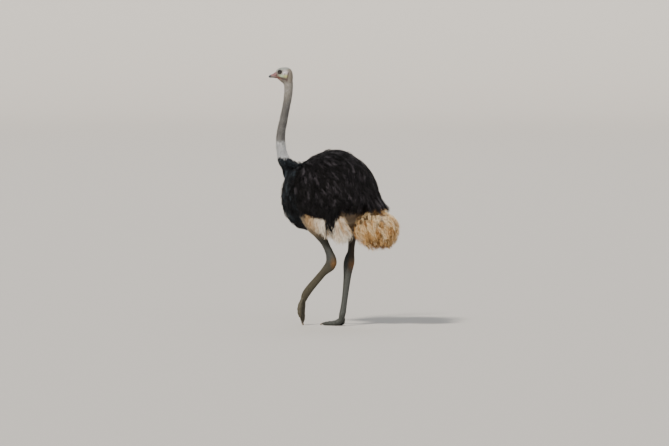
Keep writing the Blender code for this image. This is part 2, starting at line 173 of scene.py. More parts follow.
def reach(starts, ways, triangles, limit=FAR):
    """How far along each ray its last triangle within the limit lies, 0 where it meets none. Solves
    start + t way = a + u (b - a) + v (c - a) for a batch of rays and every triangle at once."""
    slack, tiny = 1e-6, 1e-15  # a ray along an edge meets both its triangles
    corner = triangles[:, 0]
    first, second = triangles[:, 1] - corner, triangles[:, 2] - corner
    found = np.zeros(len(starts))
    for low in range(0, len(starts), RAYS):
        batch = slice(low, low + RAYS)
        way = ways[batch, None, :]
        across = np.cross(way, second[None])
        size = (across * first).sum(-1)
        size = np.where(np.abs(size) < tiny, tiny, size)
        offset = starts[batch, None, :] - corner
        u = (offset * across).sum(-1) / size
        turned_offset = np.cross(offset, first[None])
        v = (way * turned_offset).sum(-1) / size
        t = (turned_offset * second).sum(-1) / size
        hit = (u > -slack) & (v > -slack) & (u + v < 1 + slack) & (t > 0) & (t < limit)
        found[batch] = np.where(hit, t, 0.0).max(axis=1)
    return found


def reach_rings(path, ways, triangles, limit=FAR):
    """Radii of rings: how far the ways (rows, sides, 3) of each ring reach from its place on the
    path."""
    starts = np.broadcast_to(path[:, None, :], ways.shape)
    far = reach(starts.reshape(-1, 3), ways.reshape(-1, 3), triangles, limit)
    return far.reshape(ways.shape[:2])


def slice_middles(triangles, start, way, levels):
    """Middle of the outline where planes square to `way`, at these distances from start, cut."""
    heights = (triangles - start) @ way
    middles = []
    for level in levels:
        cuts = []
        for i, j in ((0, 1), (1, 2), (2, 0)):
            low, high = heights[:, i] - level, heights[:, j] - level
            crossing = low * high < 0
            share = (low[crossing] / (low[crossing] - high[crossing]))[:, None]
            cuts.append(triangles[crossing, i] * (1 - share) + triangles[crossing, j] * share)
        cuts = np.concatenate(cuts)
        middles.append((cuts.min(axis=0) + cuts.max(axis=0)) / 2)
    return np.array(middles)


def ring_ways(wide, deep, sides):
    """Unit ways round one turn in the planes spanned by wide and deep."""
    turn = 2 * np.pi * np.arange(sides) / sides
    return np.cos(turn)[:, None] * wide[:, None, :] + np.sin(turn)[:, None] * deep[:, None, :]


def same_ways(wide, deep, rows, sides):
    """The ways of one ring, the same in every row."""
    return ring_ways(*(np.tile(way, (rows, 1)) for way in (wide, deep)), sides)


class Form:
    """A rounded solid as distances from its middle: u runs round the long axis from the left side
    over the top, v from the front (0) to the tail end (1). That is also its unwrap. Distances past
    the limit, as up a neck, are cut down to it."""

    ROUGH_ALONG, ROUGH_ROUND = 49, 72  # rays cast along v and round u
    ALONG, ROUND = 180, 360  # steps of the fine table

    def __init__(self, names, middle, limit=FAR):
        self.middle = np.asarray(middle, dtype=float)
        v = np.linspace(0, 1, self.ROUGH_ALONG)[:, None]
        u = np.arange(self.ROUGH_ROUND)[None, :] / self.ROUGH_ROUND
        rough = reach_rings(self.middle[None], self.ways(u, v), triangles_of(*names))
        rough = np.minimum(rough, limit)
        rough[0], rough[-1] = rough[0].mean(), rough[-1].mean()
        at = np.linspace(0, self.ROUGH_ALONG - 1, self.ALONG + 1)
        fine = cubic_turn(cubic_read(blurred(rough, 2), at), self.ROUND)
        self.table = np.concatenate([fine, fine[:, :1]], axis=1)
        self.make_normals()

    @staticmethod
    def ways(u, v):
        """Unit ways for places (u, v) on the unwrap."""
        ring = np.sin(np.pi * v)
        parts = (
            ring * np.cos(2 * np.pi * u),
            -np.cos(np.pi * v) + 0 * u,
            ring * np.sin(2 * np.pi * u),
        )
        return np.stack(parts, axis=-1)

    @staticmethod
    def unwrap(ways):
        """Places (u, v) of unit ways."""
        u = np.arctan2(ways[..., 2], ways[..., 0]) / (2 * np.pi) % 1
        return u, np.arccos(np.clip(-ways[..., 1], -1, 1)) / np.pi

    def make_normals(self):
        """Normals of the surface on the fine table, from the slopes along u and v."""
        v = np.linspace(0, 1, self.ALONG + 1)[:, None]
        u = np.linspace(0, 1, self.ROUND + 1)[None, :]
        points = self.ways(u, v) * self.table[..., None]
        along_v = np.gradient(points, axis=0)
        closed = points[:, np.r_[-2, 0 : self.ROUND + 1, 1]]
        along_u = np.gradient(closed, axis=1)[:, 1:-1]
        normals = np.cross(along_u, along_v)
        outward = np.sign((normals * points).sum(-1, keepdims=True))
        self.normals = unit(normals * np.where(outward == 0, 1, outward))
        self.normals[0], self.normals[-1] = -BACK, BACK

    def read(self, table, ways):
        """A fine table read between its four nearest places."""
        u, v = self.unwrap(ways)
        x, y = u * self.ROUND, v * self.ALONG
        i = np.minimum(x.astype(int), self.ROUND - 1)
        j = np.minimum(y.astype(int), self.ALONG - 1)
        s, t = x - i, y - j
        if table.ndim == 3:
            s, t = s[..., None], t[..., None]
        upper = table[j, i] * (1 - s) + table[j, i + 1] * s
        lower = table[j + 1, i] * (1 - s) + table[j + 1, i + 1] * s
        return upper * (1 - t) + lower * t

    def distance(self, ways):
        """Distance of the surface from the middle along these ways."""
        return self.read(self.table, ways)

    def normal(self, ways):
        """The surface's outward normal along these ways."""
        return unit(self.read(self.normals, ways))

    def place(self, ways, depth=0.0):
        """Places on the surface, or this deep under it."""
        return self.middle + ways * (self.distance(ways) - depth)[..., None]

    def spread(self, count, rng):
        """About even places over the surface: rows by the area above them, and the golden ratio
        round each row, each moved a little."""
        v = np.linspace(0, 1, self.ALONG + 1)
        area = (self.table**2).mean(axis=1) * np.sin(np.pi * v) + 1e-9
        total = np.cumsum(area)
        shares = (np.arange(count) + 0.5) / count
        rows = np.interp(shares, (total - total[0]) / (total[-1] - total[0]), v)
        u = (np.arange(count) * GOLDEN + rng.uniform(0, 0.004, count)) % 1
        return self.ways(u, np.clip(rows + rng.uniform(-0.004, 0.004, count), 0.002, 0.998))


# ---------------------------------------------------------------- making meshes


def mesh_from(name, points, faces, material):
    """A smooth object at the origin from points and triangles."""
    mesh = bpy.data.meshes.new(name)
    faces = np.ascontiguousarray(faces, dtype=np.int32)
    mesh.vertices.add(len(points))
    mesh.vertices.foreach_set("co", np.asarray(points, dtype=np.float32).ravel())
    mesh.loops.add(faces.size)
    mesh.loops.foreach_set("vertex_index", faces.ravel())
    mesh.polygons.add(len(faces))
    mesh.polygons.foreach_set("loop_start", np.arange(len(faces), dtype=np.int32) * 3)
    mesh.update(calc_edges=True)
    mesh.shade_smooth()
    mesh.materials.append(material)
    piece = bpy.data.objects.new(name, mesh)
    bpy.context.scene.collection.objects.link(piece)
    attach(piece, "root")
    return piece


def set_values(piece, name, values):
    """One number per point, for the material to read."""
    attribute = piece.data.attributes.new(name, "FLOAT", "POINT")
    attribute.data.foreach_set("value", np.asarray(values, dtype=np.float32).ravel())


def set_colours(piece, name, colours):
    """One linear colour per point, for the material to read."""
    attribute = piece.data.attributes.new(name, "FLOAT_COLOR", "POINT")
    full = np.concatenate([colours, np.ones((len(colours), 1))], axis=1)
    attribute.data.foreach_set("color", full.astype(np.float32).ravel())


def get_values(piece, name):
    """The number kept on each point."""
    values = np.empty(len(piece.data.vertices), np.float32)
    piece.data.attributes[name].data.foreach_get("value", values)
    return values


def tube_faces(rows, sides):
    """Triangles between rings, two for each square, and fans to a middle point at each end."""
    row = np.arange(rows - 1)[:, None] * sides
    i = np.arange(sides)[None, :]
    j = (i + 1) % sides
    a, b, c, d = row + i, row + j, row + sides + j, row + sides + i
    walls = np.concatenate([np.stack([a, b, c], -1), np.stack([a, c, d], -1)]).reshape(-1, 3)
    i, j = i[0], j[0]
    first, last = rows * sides + 0 * i, rows * sides + 1 + 0 * i
    start = np.stack([first, j, i], -1)
    end = np.stack([last, (rows - 1) * sides + i, (rows - 1) * sides + j], -1)
    return np.concatenate([walls, start, end])


def closed_tube(rings):
    """Points and triangles of the closed surface through rings, turned to face outwards."""
    rows, sides = rings.shape[:2]
    points = np.concatenate([rings.reshape(-1, 3), rings[:1].mean(1), rings[-1:].mean(1)])
    faces = tube_faces(rows, sides)
    corners = points[faces] - points.mean(axis=0)
    volume = (corners[:, 0] * np.cross(corners[:, 1], corners[:, 2])).sum()
    return points, faces if volume > 0 else faces[:, ::-1]


def tube_piece(name, rings, material):
    """A piece from rings, and its points."""
    points, faces = closed_tube(rings)
    return mesh_from(name, points, faces, material), points


def blades(lines, outs, half_width, half_thick, taper):
    """Thin closed blades: a flat triangle carried along each line (count, rings + 1, 3), as wide as
    taper says at each ring, and drawn to a point at the line's last place."""
    count, places = lines.shape[:2]
    rings = places - 1
    along = unit(np.gradient(lines, axis=1))[:, :rings]
    wide = unit(np.cross(along, outs[:, None, :]))
    rise = np.cross(wide, along)
    size = half_width[:, None, None] * np.asarray(taper)[None, :, None]
    lift = half_thick * np.asarray(taper)[None, :, None]
    middle = lines[:, :rings]
    section = np.stack([middle + wide * size, middle - wide * size, middle + rise * lift], 2)
    points = np.concatenate([section.reshape(count, -1, 3), lines[:, rings:]], axis=1)
    faces = [(0, 2, 1)]
    for ring in range(rings - 1):
        low, high = ring * 3, ring * 3 + 3
        for i, j in ((0, 1), (1, 2), (2, 0)):
            faces += [(low + i, low + j, high + j), (low + i, high + j, high + i)]
    tip = rings * 3
    faces += [(tip - 3 + i, tip - 3 + j, tip) for i, j in ((0, 1), (1, 2), (2, 0))]
    steps = np.arange(count)[:, None, None] * (tip + 1)
    return points, (steps + np.array(faces)[None]).reshape(-1, 3)


def line_read(lines, at):
    """Each line (count, places, 3) read at its own shares `at` (count, wanted) of its length."""
    last = lines.shape[1] - 1
    x = np.clip(at, 0, 1) * last
    i = np.minimum(x.astype(int), last - 1)
    s = (x - i)[..., None]
    row = np.arange(len(lines))[:, None]
    return lines[row, i] * (1 - s) + lines[row, i + 1] * s


class Coat:
    """Plumes gathered for one piece: each is a shaft with barbs that leave it by turns to the left
    and right, run beside it and curl away. Every plume keeps one small patch of the bake map."""

    def __init__(self, seed):
        self.rng = np.random.default_rng(seed)
        self.points, self.faces, self.tones, self.shares, self.maps = [], [], [], [], []
        self.total = 0

    def add(self, shafts, outs, maps, barbs, spread, width, overrun=0.8, rings=2, curl=0.005,
            tone=None, thick=0.0005, reach_share=0.45, own=0.35):
        """shafts (count, places, 3) are read out to `overrun` of their length by the shaft itself,
        and the rest by the last barbs. spread is how far barbs part from it, width a barb's own,
        curl how far its tip strays, rings its cross-sections, reach_share its share of the plume,
        and `own` how much of its tone is the barb's and not the plume's."""
        rng = self.rng
        count = len(shafts)
        places = np.linspace(0, 1, rings + 1) ** 0.9  # of a barb's length, closer at its tip
        along = unit(np.gradient(shafts, axis=1))
        sides = unit(np.cross(outs[:, None, :], along))
        # Barbs leave closer and closer towards the tip. The first of them is the shaft itself.
        order = (np.arange(barbs) / max(barbs - 1, 1))[None, :]
        begin = overrun * order ** 0.8 * 0.9
        begin = begin + rng.uniform(-0.04, 0.04, (count, barbs))
        begin[:, 0] = 0.0
        share = reach_share * rng.uniform(0.8, 1.2, (count, barbs))
        share[:, 0] = overrun
        side = np.where(np.arange(barbs) % 2 == 0, 1.0, -1.0)[None, :] * np.ones((count, 1))
        side[:, 0] = 0.0
        at = np.clip(begin[..., None] + share[..., None] * places, 0, 1)
        flat = at.reshape(count, -1)
        lines = line_read(shafts, flat).reshape(count, barbs, rings + 1, 3)
        away = line_read(sides, flat).reshape(count, barbs, rings + 1, 3)
        size = np.asarray(spread).reshape(-1, 1, 1, 1) * side[..., None, None]
        size = size * rng.uniform(0.45, 1.15, (count, barbs, 1, 1))
        opening = (places**0.8 * (1.15 - 0.35 * places))[None, None, :, None]
        lines = lines + away * size * opening
        drift = rng.normal(size=(count, barbs, 1, 3)) * curl
        lines = lines + drift * (places**1.6)[None, None, :, None]
        lines = lines.reshape(-1, rings + 1, 3)
        out = np.repeat(outs, barbs, axis=0) + rng.normal(size=(count * barbs, 3)) * 0.35
        half = np.repeat(np.broadcast_to(width, (count,)), barbs) / 2
        half = half * rng.uniform(0.7, 1.25, count * barbs)
        taper = np.interp(np.arange(rings) / rings, (0, 0.35, 1), (0.55, 1.0, 0.45))
        points, faces = blades(lines, unit(out), half, thick, taper)
        per = points.shape[1]
        share = np.r_[np.repeat(places[:rings], 3), 1.0]
        tones = rng.uniform(0, 1, count) if tone is None else tone
        tones = np.repeat(tones, barbs) * (1 - own) + rng.uniform(0, own, count * barbs)
        slot = np.broadcast_to(order - 0.5, (count, barbs)).reshape(-1, 1)
        patch = np.stack([slot + 0 * share, (share - 0.5)[None, :] + 0 * slot], axis=-1) * PATCH
        roots = np.repeat(np.clip(maps, PATCH, 1 - PATCH), barbs, axis=0)[:, None, :]
        self.points.append(points.reshape(-1, 3))
        self.faces.append(faces + self.total)
        self.total += count * barbs * per
        self.tones.append(np.repeat(tones, per))
        self.shares.append(np.tile(share, count * barbs))
        self.maps.append((roots + patch).reshape(-1, 2))

    def make(self, name, material, slot, *nodes):
        """The gathered plumes as one piece with its bake map, tone per barb and share of length."""
        points, faces = np.concatenate(self.points), np.concatenate(self.faces)
        piece = mesh_from(name, points, faces, material)
        set_values(piece, "tone", np.concatenate(self.tones))
        set_values(piece, "share", np.concatenate(self.shares))
        bake = piece.data.uv_layers.new(name="OFBake")
        maps = np.concatenate(self.maps)[faces.ravel()]
        bake.data.foreach_set("uv", maps.astype(np.float32).ravel())
        if nodes:
            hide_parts(*nodes)
        return piece


# ---------------------------------------------------------------- finishes


def linear(code):
    """Linear red, green and blue of an sRGB hex colour."""
    parts = np.array([int(code[i : i + 2], 16) for i in (1, 3, 5)]) / 255
    return np.where(parts <= 0.04045, parts / 12.92, ((parts + 0.055) / 1.055) ** 2.4)


def add(tree, kind, inputs=None, stops=None, **settings):
    """Adds a node. An input is a constant or another node's output; stops are a ramp's colours."""
    made = tree.nodes.new(kind)
    for key, value in settings.items():
        setattr(made, key, value)
    for key, value in (inputs or {}).items():
        if isinstance(value, bpy.types.NodeSocket):
            tree.links.new(value, made.inputs[key])
        else:
            made.inputs[key].default_value = value
    if stops:
        ramp = made.color_ramp
        while len(ramp.elements) < len(stops):
            ramp.elements.new(0.5)
        for element, (place, code) in zip(ramp.elements, stops):
            element.position = place
            element.color = (*linear(code), 1.0)
    return made


def new_material(name, roughness, ior=1.5, **sockets):
    """A material with its shader, whose own sockets hold what is the same all over."""
    material = bpy.data.materials.new(name)
    material.use_nodes = True
    tree = material.node_tree
    shader = tree.nodes["Principled BSDF"]
    shader.inputs["Roughness"].default_value = roughness
    shader.inputs["IOR"].default_value = ior
    shader.inputs["Metallic"].default_value = 0.0
    for key, value in sockets.items():
        shader.inputs[key.replace("_", " ")].default_value = value
    return material, tree, shader


def stored(tree, name, output="Fac"):
    """A number, or with "Color" a colour, kept on the points."""
    return add(tree, "ShaderNodeAttribute", attribute_name=name).outputs[output]


def noise(tree, place, size, detail=2.0):
    """Clouds from 0 to 1 with lumps of about `size` metres."""
    inputs = {"Vector": place, "Scale": 1 / size, "Detail": detail}
    return add(tree, "ShaderNodeTexNoise", inputs).outputs["Fac"]


def ramp(tree, value, *stops):
    """The colour at a value on a ramp of (place, colour) stops."""
    return add(tree, "ShaderNodeValToRGB", {"Fac": value}, stops=stops).outputs[0]


def product(tree, one, other):
    """One colour times another."""
    return add(tree, "ShaderNodeMix", {0: 1.0, 6: one, 7: other},
               data_type="RGBA", blend_type="MULTIPLY").outputs[2]


def blend(tree, share, one, other):
    """One number moved towards another by a share."""
    return add(tree, "ShaderNodeMix", {0: share, 2: one, 3: other}, data_type="FLOAT").outputs[0]


def bump(tree, height, strength, distance, **normal):
    """A normal pushed out by a height, `distance` metres at most."""
    inputs = {"Height": height, "Strength": strength, "Distance": distance, **normal}
    return add(tree, "ShaderNodeBump", inputs).outputs[0]


def feather_finish(name, stops, root, tip, patch, roughness, sheen, sheen_tint, specular=0.35):
    """Keratin barbs: the ramp gives each barb its own tone, root and tip colours tint its ends,
    where a darker root is painted shade under the barbs above it, and clouds of `patch` metres tint
    whole plumes."""
    material, tree, shader = new_material(
        name, roughness, ior=1.55, Sheen_Weight=sheen, Sheen_Roughness=0.45,
        Sheen_Tint=(*linear(sheen_tint), 1.0), Specular_IOR_Level=specular,
    )
    tone, share = stored(tree, "tone"), stored(tree, "share")
    place = add(tree, "ShaderNodeTexCoord").outputs["Object"]
    mixed = blend(tree, 0.3, tone, noise(tree, place, patch))
    # A darker root colour is painted shade where the barb lies under others.
    ends = ramp(tree, share, (0.0, root), (0.45, "#ffffff"), (1.0, tip))
    colour = product(tree, ramp(tree, mixed, *stops), ends)
    tree.links.new(colour, shader.inputs["Base Color"])
    return material


def black_plume_finish():
    # Keratin full of melanin: near black, with a faint cool gloss along the barbs. Clouds 50 mm.
    return feather_finish(
        "black_melanin_feather",
        ((0.18, "#030304"), (0.40, "#090b0e"), (0.58, "#1d2329"), (0.80, "#47525b")),
        root="#454545", tip="#f2f2f2", patch=0.05, roughness=0.55, sheen=0.02,
        sheen_tint="#8b93a6", specular=0.16,
    )


def worn_plume_finish():
    # The same plumes on wings and back, bleached by the sun: black with a warm brown cast.
    return feather_finish(
        "sun_bleached_black_feather",
        ((0.18, "#030304"), (0.40, "#0a0a0c"), (0.58, "#222024"), (0.80, "#545056")),
        root="#454545", tip="#f2f2f2", patch=0.05, roughness=0.55, sheen=0.02,
        sheen_tint="#a6938b", specular=0.16,
    )


def white_plume_finish():
    # Keratin without pigment, dusty with sand: warm cream; the tan where it lies deep, at the barbs'
    # roots, is partly sand and partly painted shade. Clouds 50 mm.
    return feather_finish(
        "unpigmented_feather",
        ((0.12, "#82633b"), (0.26, "#c4a375"), (0.40, "#f1d9b6"), (0.56, "#fff8ea")),
        root="#a58762", tip="#fffaf2", patch=0.05, roughness=0.7, sheen=0.15,
        sheen_tint="#fff1de",
    )


def tail_plume_finish():
    # Keratin stained by sand and rubbing: buff outside; rust brown inside, darkened as painted shade
    # deep in the mop. Clouds 50 mm.
    return feather_finish(
        "stained_buff_feather",
        ((0.12, "#523210"), (0.30, "#ab793a"), (0.48, "#efc685"), (0.70, "#ffebc2")),
        root="#855a2c", tip="#fff2d8", patch=0.05, roughness=0.7, sheen=0.1,
        sheen_tint="#ffe2bd",
    )


def down_finish():
    # Short hair-like down on the neck: grey to off-white, duller than the plumes. Clouds 30 mm.
    return feather_finish(
        "neck_down_feather",
        ((0.2, "#383a3b"), (0.42, "#5e605f"), (0.6, "#8d8f90"), (0.8, "#ccd0d3")),
        root="#c9c4ba", tip="#ffffff", patch=0.03, roughness=0.75, sheen=0.2,
        sheen_tint="#ffffff",
    )


def collar_finish():
    # The band of longer white down at the foot of the neck. Clouds 30 mm.
    return feather_finish(
        "collar_down_feather",
        ((0.2, "#9fa2a5"), (0.42, "#cdd0d3"), (0.6, "#e8ebee"), (0.8, "#fbfcfd")),
        root="#c9c7c4", tip="#ffffff", patch=0.03, roughness=0.72, sheen=0.2,
        sheen_tint="#ffffff",
    )


def bristle_finish():
    # Stiff dark bristles: lashes and the hairs round the ear. Clouds 20 mm.
    return feather_finish(
        "lash_bristle",
        ((0.25, "#0a0908"), (0.5, "#15120f"), (0.68, "#201b16"), (0.8, "#2a241d")),
        root="#ffffff", tip="#ffffff", patch=0.02, roughness=0.4, sheen=0.05,
        sheen_tint="#ffffff",
    )


def skin_finish():
    # Living skin: the tint painted on its points, mottled in 9 mm clouds, with pebbling of about
    # 1 mm and, on the legs, 5 mm horny scales with dark seams, both as bump.
    material, tree, shader = new_material("ostrich_skin", roughness=0.62, ior=1.45,
                                          Specular_IOR_Level=0.4)
    place = add(tree, "ShaderNodeTexCoord").outputs["Object"]
    cloud = noise(tree, place, 0.009, detail=5.0)
    pores = noise(tree, place, 0.0012, detail=3.0)
    cells = add(tree, "ShaderNodeTexVoronoi", {"Vector": place, "Scale": 1 / 0.005},
                feature="DISTANCE_TO_EDGE")
    seam = add(tree, "ShaderNodeMapRange",
               {"Value": cells.outputs["Distance"], 1: 0.0, 2: 0.09, 3: 0.45, 4: 1.0})
    scales = blend(tree, stored(tree, "scaly"), 1.0, seam.outputs[0])
    mottle = ramp(tree, cloud, (0.3, "#b9b4ae"), (0.5, "#e6e3df"), (0.68, "#ffffff"))
    mottled = product(tree, stored(tree, "tint", "Color"), mottle)
    tree.links.new(product(tree, mottled, scales), shader.inputs["Base Color"])
    fine = bump(tree, pores, strength=0.35, distance=0.0006)
    both = bump(tree, scales, strength=0.8, distance=0.0007, Normal=fine)
    tree.links.new(both, shader.inputs["Normal"])
    rough = add(tree, "ShaderNodeMapRange", {"Value": cloud, 1: 0.3, 2: 0.7, 3: 0.5, 4: 0.75})
    tree.links.new(rough.outputs[0], shader.inputs["Roughness"])
    return material


def horn_finish(name, roughness):
    """Horn: a tint painted on its points, with wavy growth lines about 9 mm apart along it. The
    node's lines lie 0.314 / Scale apart."""
    material, tree, shader = new_material(name, roughness, ior=1.55, Coat_Weight=0.15)
    place = add(tree, "ShaderNodeTexCoord").outputs["Object"]
    lines = add(tree, "ShaderNodeTexWave",
                {"Vector": place, "Scale": 1 / 0.03, "Distortion": 6.0, "Detail": 3.0},
                bands_direction="Y").outputs["Fac"]
    shade = ramp(tree, noise(tree, place, 0.004, detail=4.0),
                 (0.3, "#a8a29c"), (0.55, "#efebe6"), (0.7, "#ffffff"))
    colour = product(tree, stored(tree, "tint", "Color"), shade)
    tree.links.new(colour, shader.inputs["Base Color"])
    tree.links.new(bump(tree, lines, strength=0.25, distance=0.0003), shader.inputs["Normal"])
    return material


def eye_finish():
    # Cornea over a brown iris: water-clear gloss over colour by the angle from the gaze.
    material, tree, shader = new_material("wet_cornea", roughness=0.08, ior=1.376,
                                          Coat_Weight=1.0, Coat_Roughness=0.02)
    place = add(tree, "ShaderNodeTexCoord").outputs["Object"]
    fleck = noise(tree, place, 0.0015, detail=3.0)
    shift = add(tree, "ShaderNodeMath", {0: fleck, 1: 0.05, 2: stored(tree, "turn")},
                operation="MULTIPLY_ADD")
    iris = ramp(tree, shift.outputs[0],
                (0.0, "#030202"), (0.40, "#040303"), (0.44, "#1e1007"), (0.54, "#33200f"),
                (0.62, "#26160b"), (0.68, "#0c0705"), (0.76, "#140e0b"), (1.0, "#1c1411"))
    tree.links.new(iris, shader.inputs["Base Color"])
    return material


# ---------------------------------------------------------------- places read off the solids

EYES = (middle_of("eye_left") + middle_of("eye_right")) / 2
ACROSS = unit((middle_of("eye_left") - middle_of("eye_right")) * np.array([1.0, 1.0, 0.0]))
AHEAD = np.array([ACROSS[1], -ACROSS[0], 0.0])  # the way the bill points
EYE_RADIUS = (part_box("eye_left")[1].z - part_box("eye_left")[0].z) / 2
FLOOR = cad_box[0].z
COLLAR_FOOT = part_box("neck_lower")[1].z - 0.107  # white collar above, black coat below
COLLAR_TOP = COLLAR_FOOT + 0.13  # grey down starts here
COLLAR_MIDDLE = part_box("neck_lower")[0].y + 0.072  # the neck's axis at the collar's foot
TRUNK_LOW, TRUNK_HIGH = (np.array(corner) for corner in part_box("trunk"))
COAT_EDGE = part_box("wing_plumes_left")[1].z + 0.035  # the flank is bare below the last black roots
BELLY_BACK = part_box("wing_plumes_left")[0].y - 0.012  # ahead of this the belly is black all round
LOCK = BELLY_BACK + 0.302  # where the long black lock hangs off each wing
COAT_DEPTH, BARE_RISE = 0.046, 0.030  # depth of the skin under the plumes, less where it is bare
BODY_REACH = 0.505  # from the trunk's middle, where the neck is cut off

BODY = Form(("trunk", "wing_left", "wing_right", "neck_lower"), middle_of("trunk"), BODY_REACH)
TAIL = Form(("tail",), middle_of("tail"))


def bare_flank(places):
    """1 on the bare flank and belly between and behind the legs, 0 under the black coat."""
    low = 1 - ease(places[..., 2], COAT_EDGE - 0.02, COAT_EDGE + 0.01)
    return low * ease(places[..., 1], BELLY_BACK - 0.02, BELLY_BACK + 0.02)


def body_depth(ways):
    """How far the skin lies inside the outline of the plumage: deep under the plumes, and just
    inside it where the flank is bare."""
    return COAT_DEPTH - BARE_RISE * bare_flank(BODY.place(ways))


def tail_depth(ways):
    """The tail's plumes root about halfway to its middle."""
    return TAIL.distance(ways) * 0.55


# ---------------------------------------------------------------- skin

# Path through the head from the base of the bill to the throat: ahead of and above the eyes.
HEAD_PATH = ((0.046, -0.036), (0.000, -0.027), (-0.045, -0.030), (-0.073, -0.078))
THROAT_DROP = 0.148  # the neck's own slices begin this far below the eyes
NECK_SLICES, PATH_STEPS = 13, 1500
HEAD_ROWS, NECK_ROWS, NECK_SIDES, COARSE = 136, 160, 128, 4
NECK_RAYS, TRUNK_ROWS, TRUNK_SIDES = 40, 96, 72
NECK_FOLD = 0.0095  # from fold to fold across the neck
HEAD_LENGTH = 0.190  # of the path, at the close spacing

# Swellings and hollows of the face: ahead, above the eye, half length, half height, height.
FACE = (
    (0.000, 0.000, 0.0210, 0.0190, -0.0080),  # socket round the eyeball
    (-0.001, 0.0235, 0.0210, 0.0055, 0.0032),  # brow
    (0.026, 0.010, 0.0080, 0.0060, 0.0010),  # front end of the brow
    (0.031, -0.013, 0.0110, 0.0080, -0.0026),  # lore
    (-0.034, -0.040, 0.0200, 0.0170, 0.0024),  # cheek
    (-0.033, 0.004, 0.0090, 0.0130, -0.0018),  # temple
    (-0.046, -0.016, 0.0048, 0.0062, -0.0065),  # ear hole
    (-0.012, -0.026, 0.0160, 0.0040, 0.0012),  # fold under the lower lid
)
EAR = (-0.046, -0.016, 0.0095, 0.0115)  # ear hole: ahead, above the eye, half length and height
CHEEK_LINE = (0.012, -0.044, -0.060, -0.068)  # crease below the pale cheek, painted dark as shade
JAW_CORNER = (-0.062, -0.078, -0.078, -0.006)  # hollow behind it, painted dark as shade
# Lines of the face, from one end to the other: ahead and up, ahead and up, half width, height.
FACE_LINES = (
    (0.052, -0.0385, -0.006, -0.0530, 0.0016, -0.0030),  # gape
    (0.052, -0.0350, -0.008, -0.0490, 0.0022, 0.0012),  # upper lip
    (0.048, -0.0430, -0.004, -0.0580, 0.0024, 0.0013),  # lower lip
    (0.034, -0.0560, -0.030, -0.0800, 0.0040, 0.0018),  # jaw
    (-0.004, -0.0560, -0.020, -0.0700, 0.0018, -0.0010),  # crease behind the gape
)


def from_line(ahead, up, line):
    """Distance of places in the head's plane from a stretch of line."""
    start, end = np.array(line[:2]), np.array(line[2:4])
    run = end - start
    share = np.clip(((ahead - start[0]) * run[0] + (up - start[1]) * run[1]) / (run @ run), 0, 1)
    return np.hypot(ahead - start[0] - share * run[0], up - start[1] - share * run[1])


def face_places(places):
    """How far places lie ahead of the eyes, above them, and to the side of the head's middle."""
    offset = places - EYES
    return offset @ AHEAD, offset[..., 2], np.abs(offset @ ACROSS)


def at_ear(ahead, up):
    """Distance from the ear hole's middle, 1 at its rim."""
    return np.hypot((ahead - EAR[0]) / EAR[2], (up - EAR[1]) / EAR[3])


def face_swell(places):
    """How far the face stands out of its plain oval at these places, in metres."""
    ahead, up, out = face_places(places)
    side = ease(out, 0.010, 0.024)
    swell = np.zeros(ahead.shape)
    for a, h, long, high, amount in FACE:
        swell += amount * np.exp(-(((ahead - a) / long) ** 2) - ((up - h) / high) ** 2) * side
    swell += 0.0012 * hump(at_ear(ahead, up), 1.0, 0.28) * side
    for *line, half, height in FACE_LINES:
        swell += height * hump(from_line(ahead, up, line), 0, half) * side
    chin = hump(ahead, 0.012, 0.030) * ease(-up, 0.045, 0.060) * (1 - ease(out, 0.006, 0.017))
    swell -= 0.0035 * chin  # hollow between the two halves of the jaw
    crown = ease(up, 0.020, 0.034)
    swell += 0.0006 * ripple(places, 0.012, 3) * (1 - 0.5 * crown)
    return swell


def neck_path():
    """The line from the base of the bill through the head and down the neck into the trunk, its
    length so far at each place, and the height of the neck's lowest slice."""
    head = [EYES + AHEAD * ahead + UP * up for ahead, up in HEAD_PATH]
    levels = np.linspace(EYES[2] - THROAT_DROP, COLLAR_FOOT - 0.110, NECK_SLICES)
    middles = slice_middles(triangles_of(*NECK), np.zeros(3), UP, levels)
    into_trunk = [middles[-1] + BACK * b - UP * d for b, d in ((0.050, 0.066), (0.125, 0.135))]
    knots = np.concatenate([head, middles, into_trunk])
    line = cubic_read(knots, np.linspace(0, len(knots) - 1, PATH_STEPS))
    return line, lengths_along(line), levels[-1]


def read_path(line, so_far, at):
    """Places at these lengths along a line."""
    return np.stack([np.interp(at, so_far, line[:, i]) for i in range(3)], axis=-1)


def neck_coat_depth(heights):
    """Depth of the coat on head and neck, by height: bristles, short down, collar, black plumes."""
    eye = EYES[2]
    keys = (COLLAR_FOOT - 0.11, COLLAR_FOOT - 0.03, COLLAR_FOOT + 0.01, COLLAR_FOOT + 0.06,
            COLLAR_FOOT + 0.16, eye - 0.25, eye - 0.12, eye - 0.06)
    return np.interp(heights, keys, (0.026, 0.019, 0.014, 0.010, 0.0042, 0.0030, 0.0016, 0.0004))


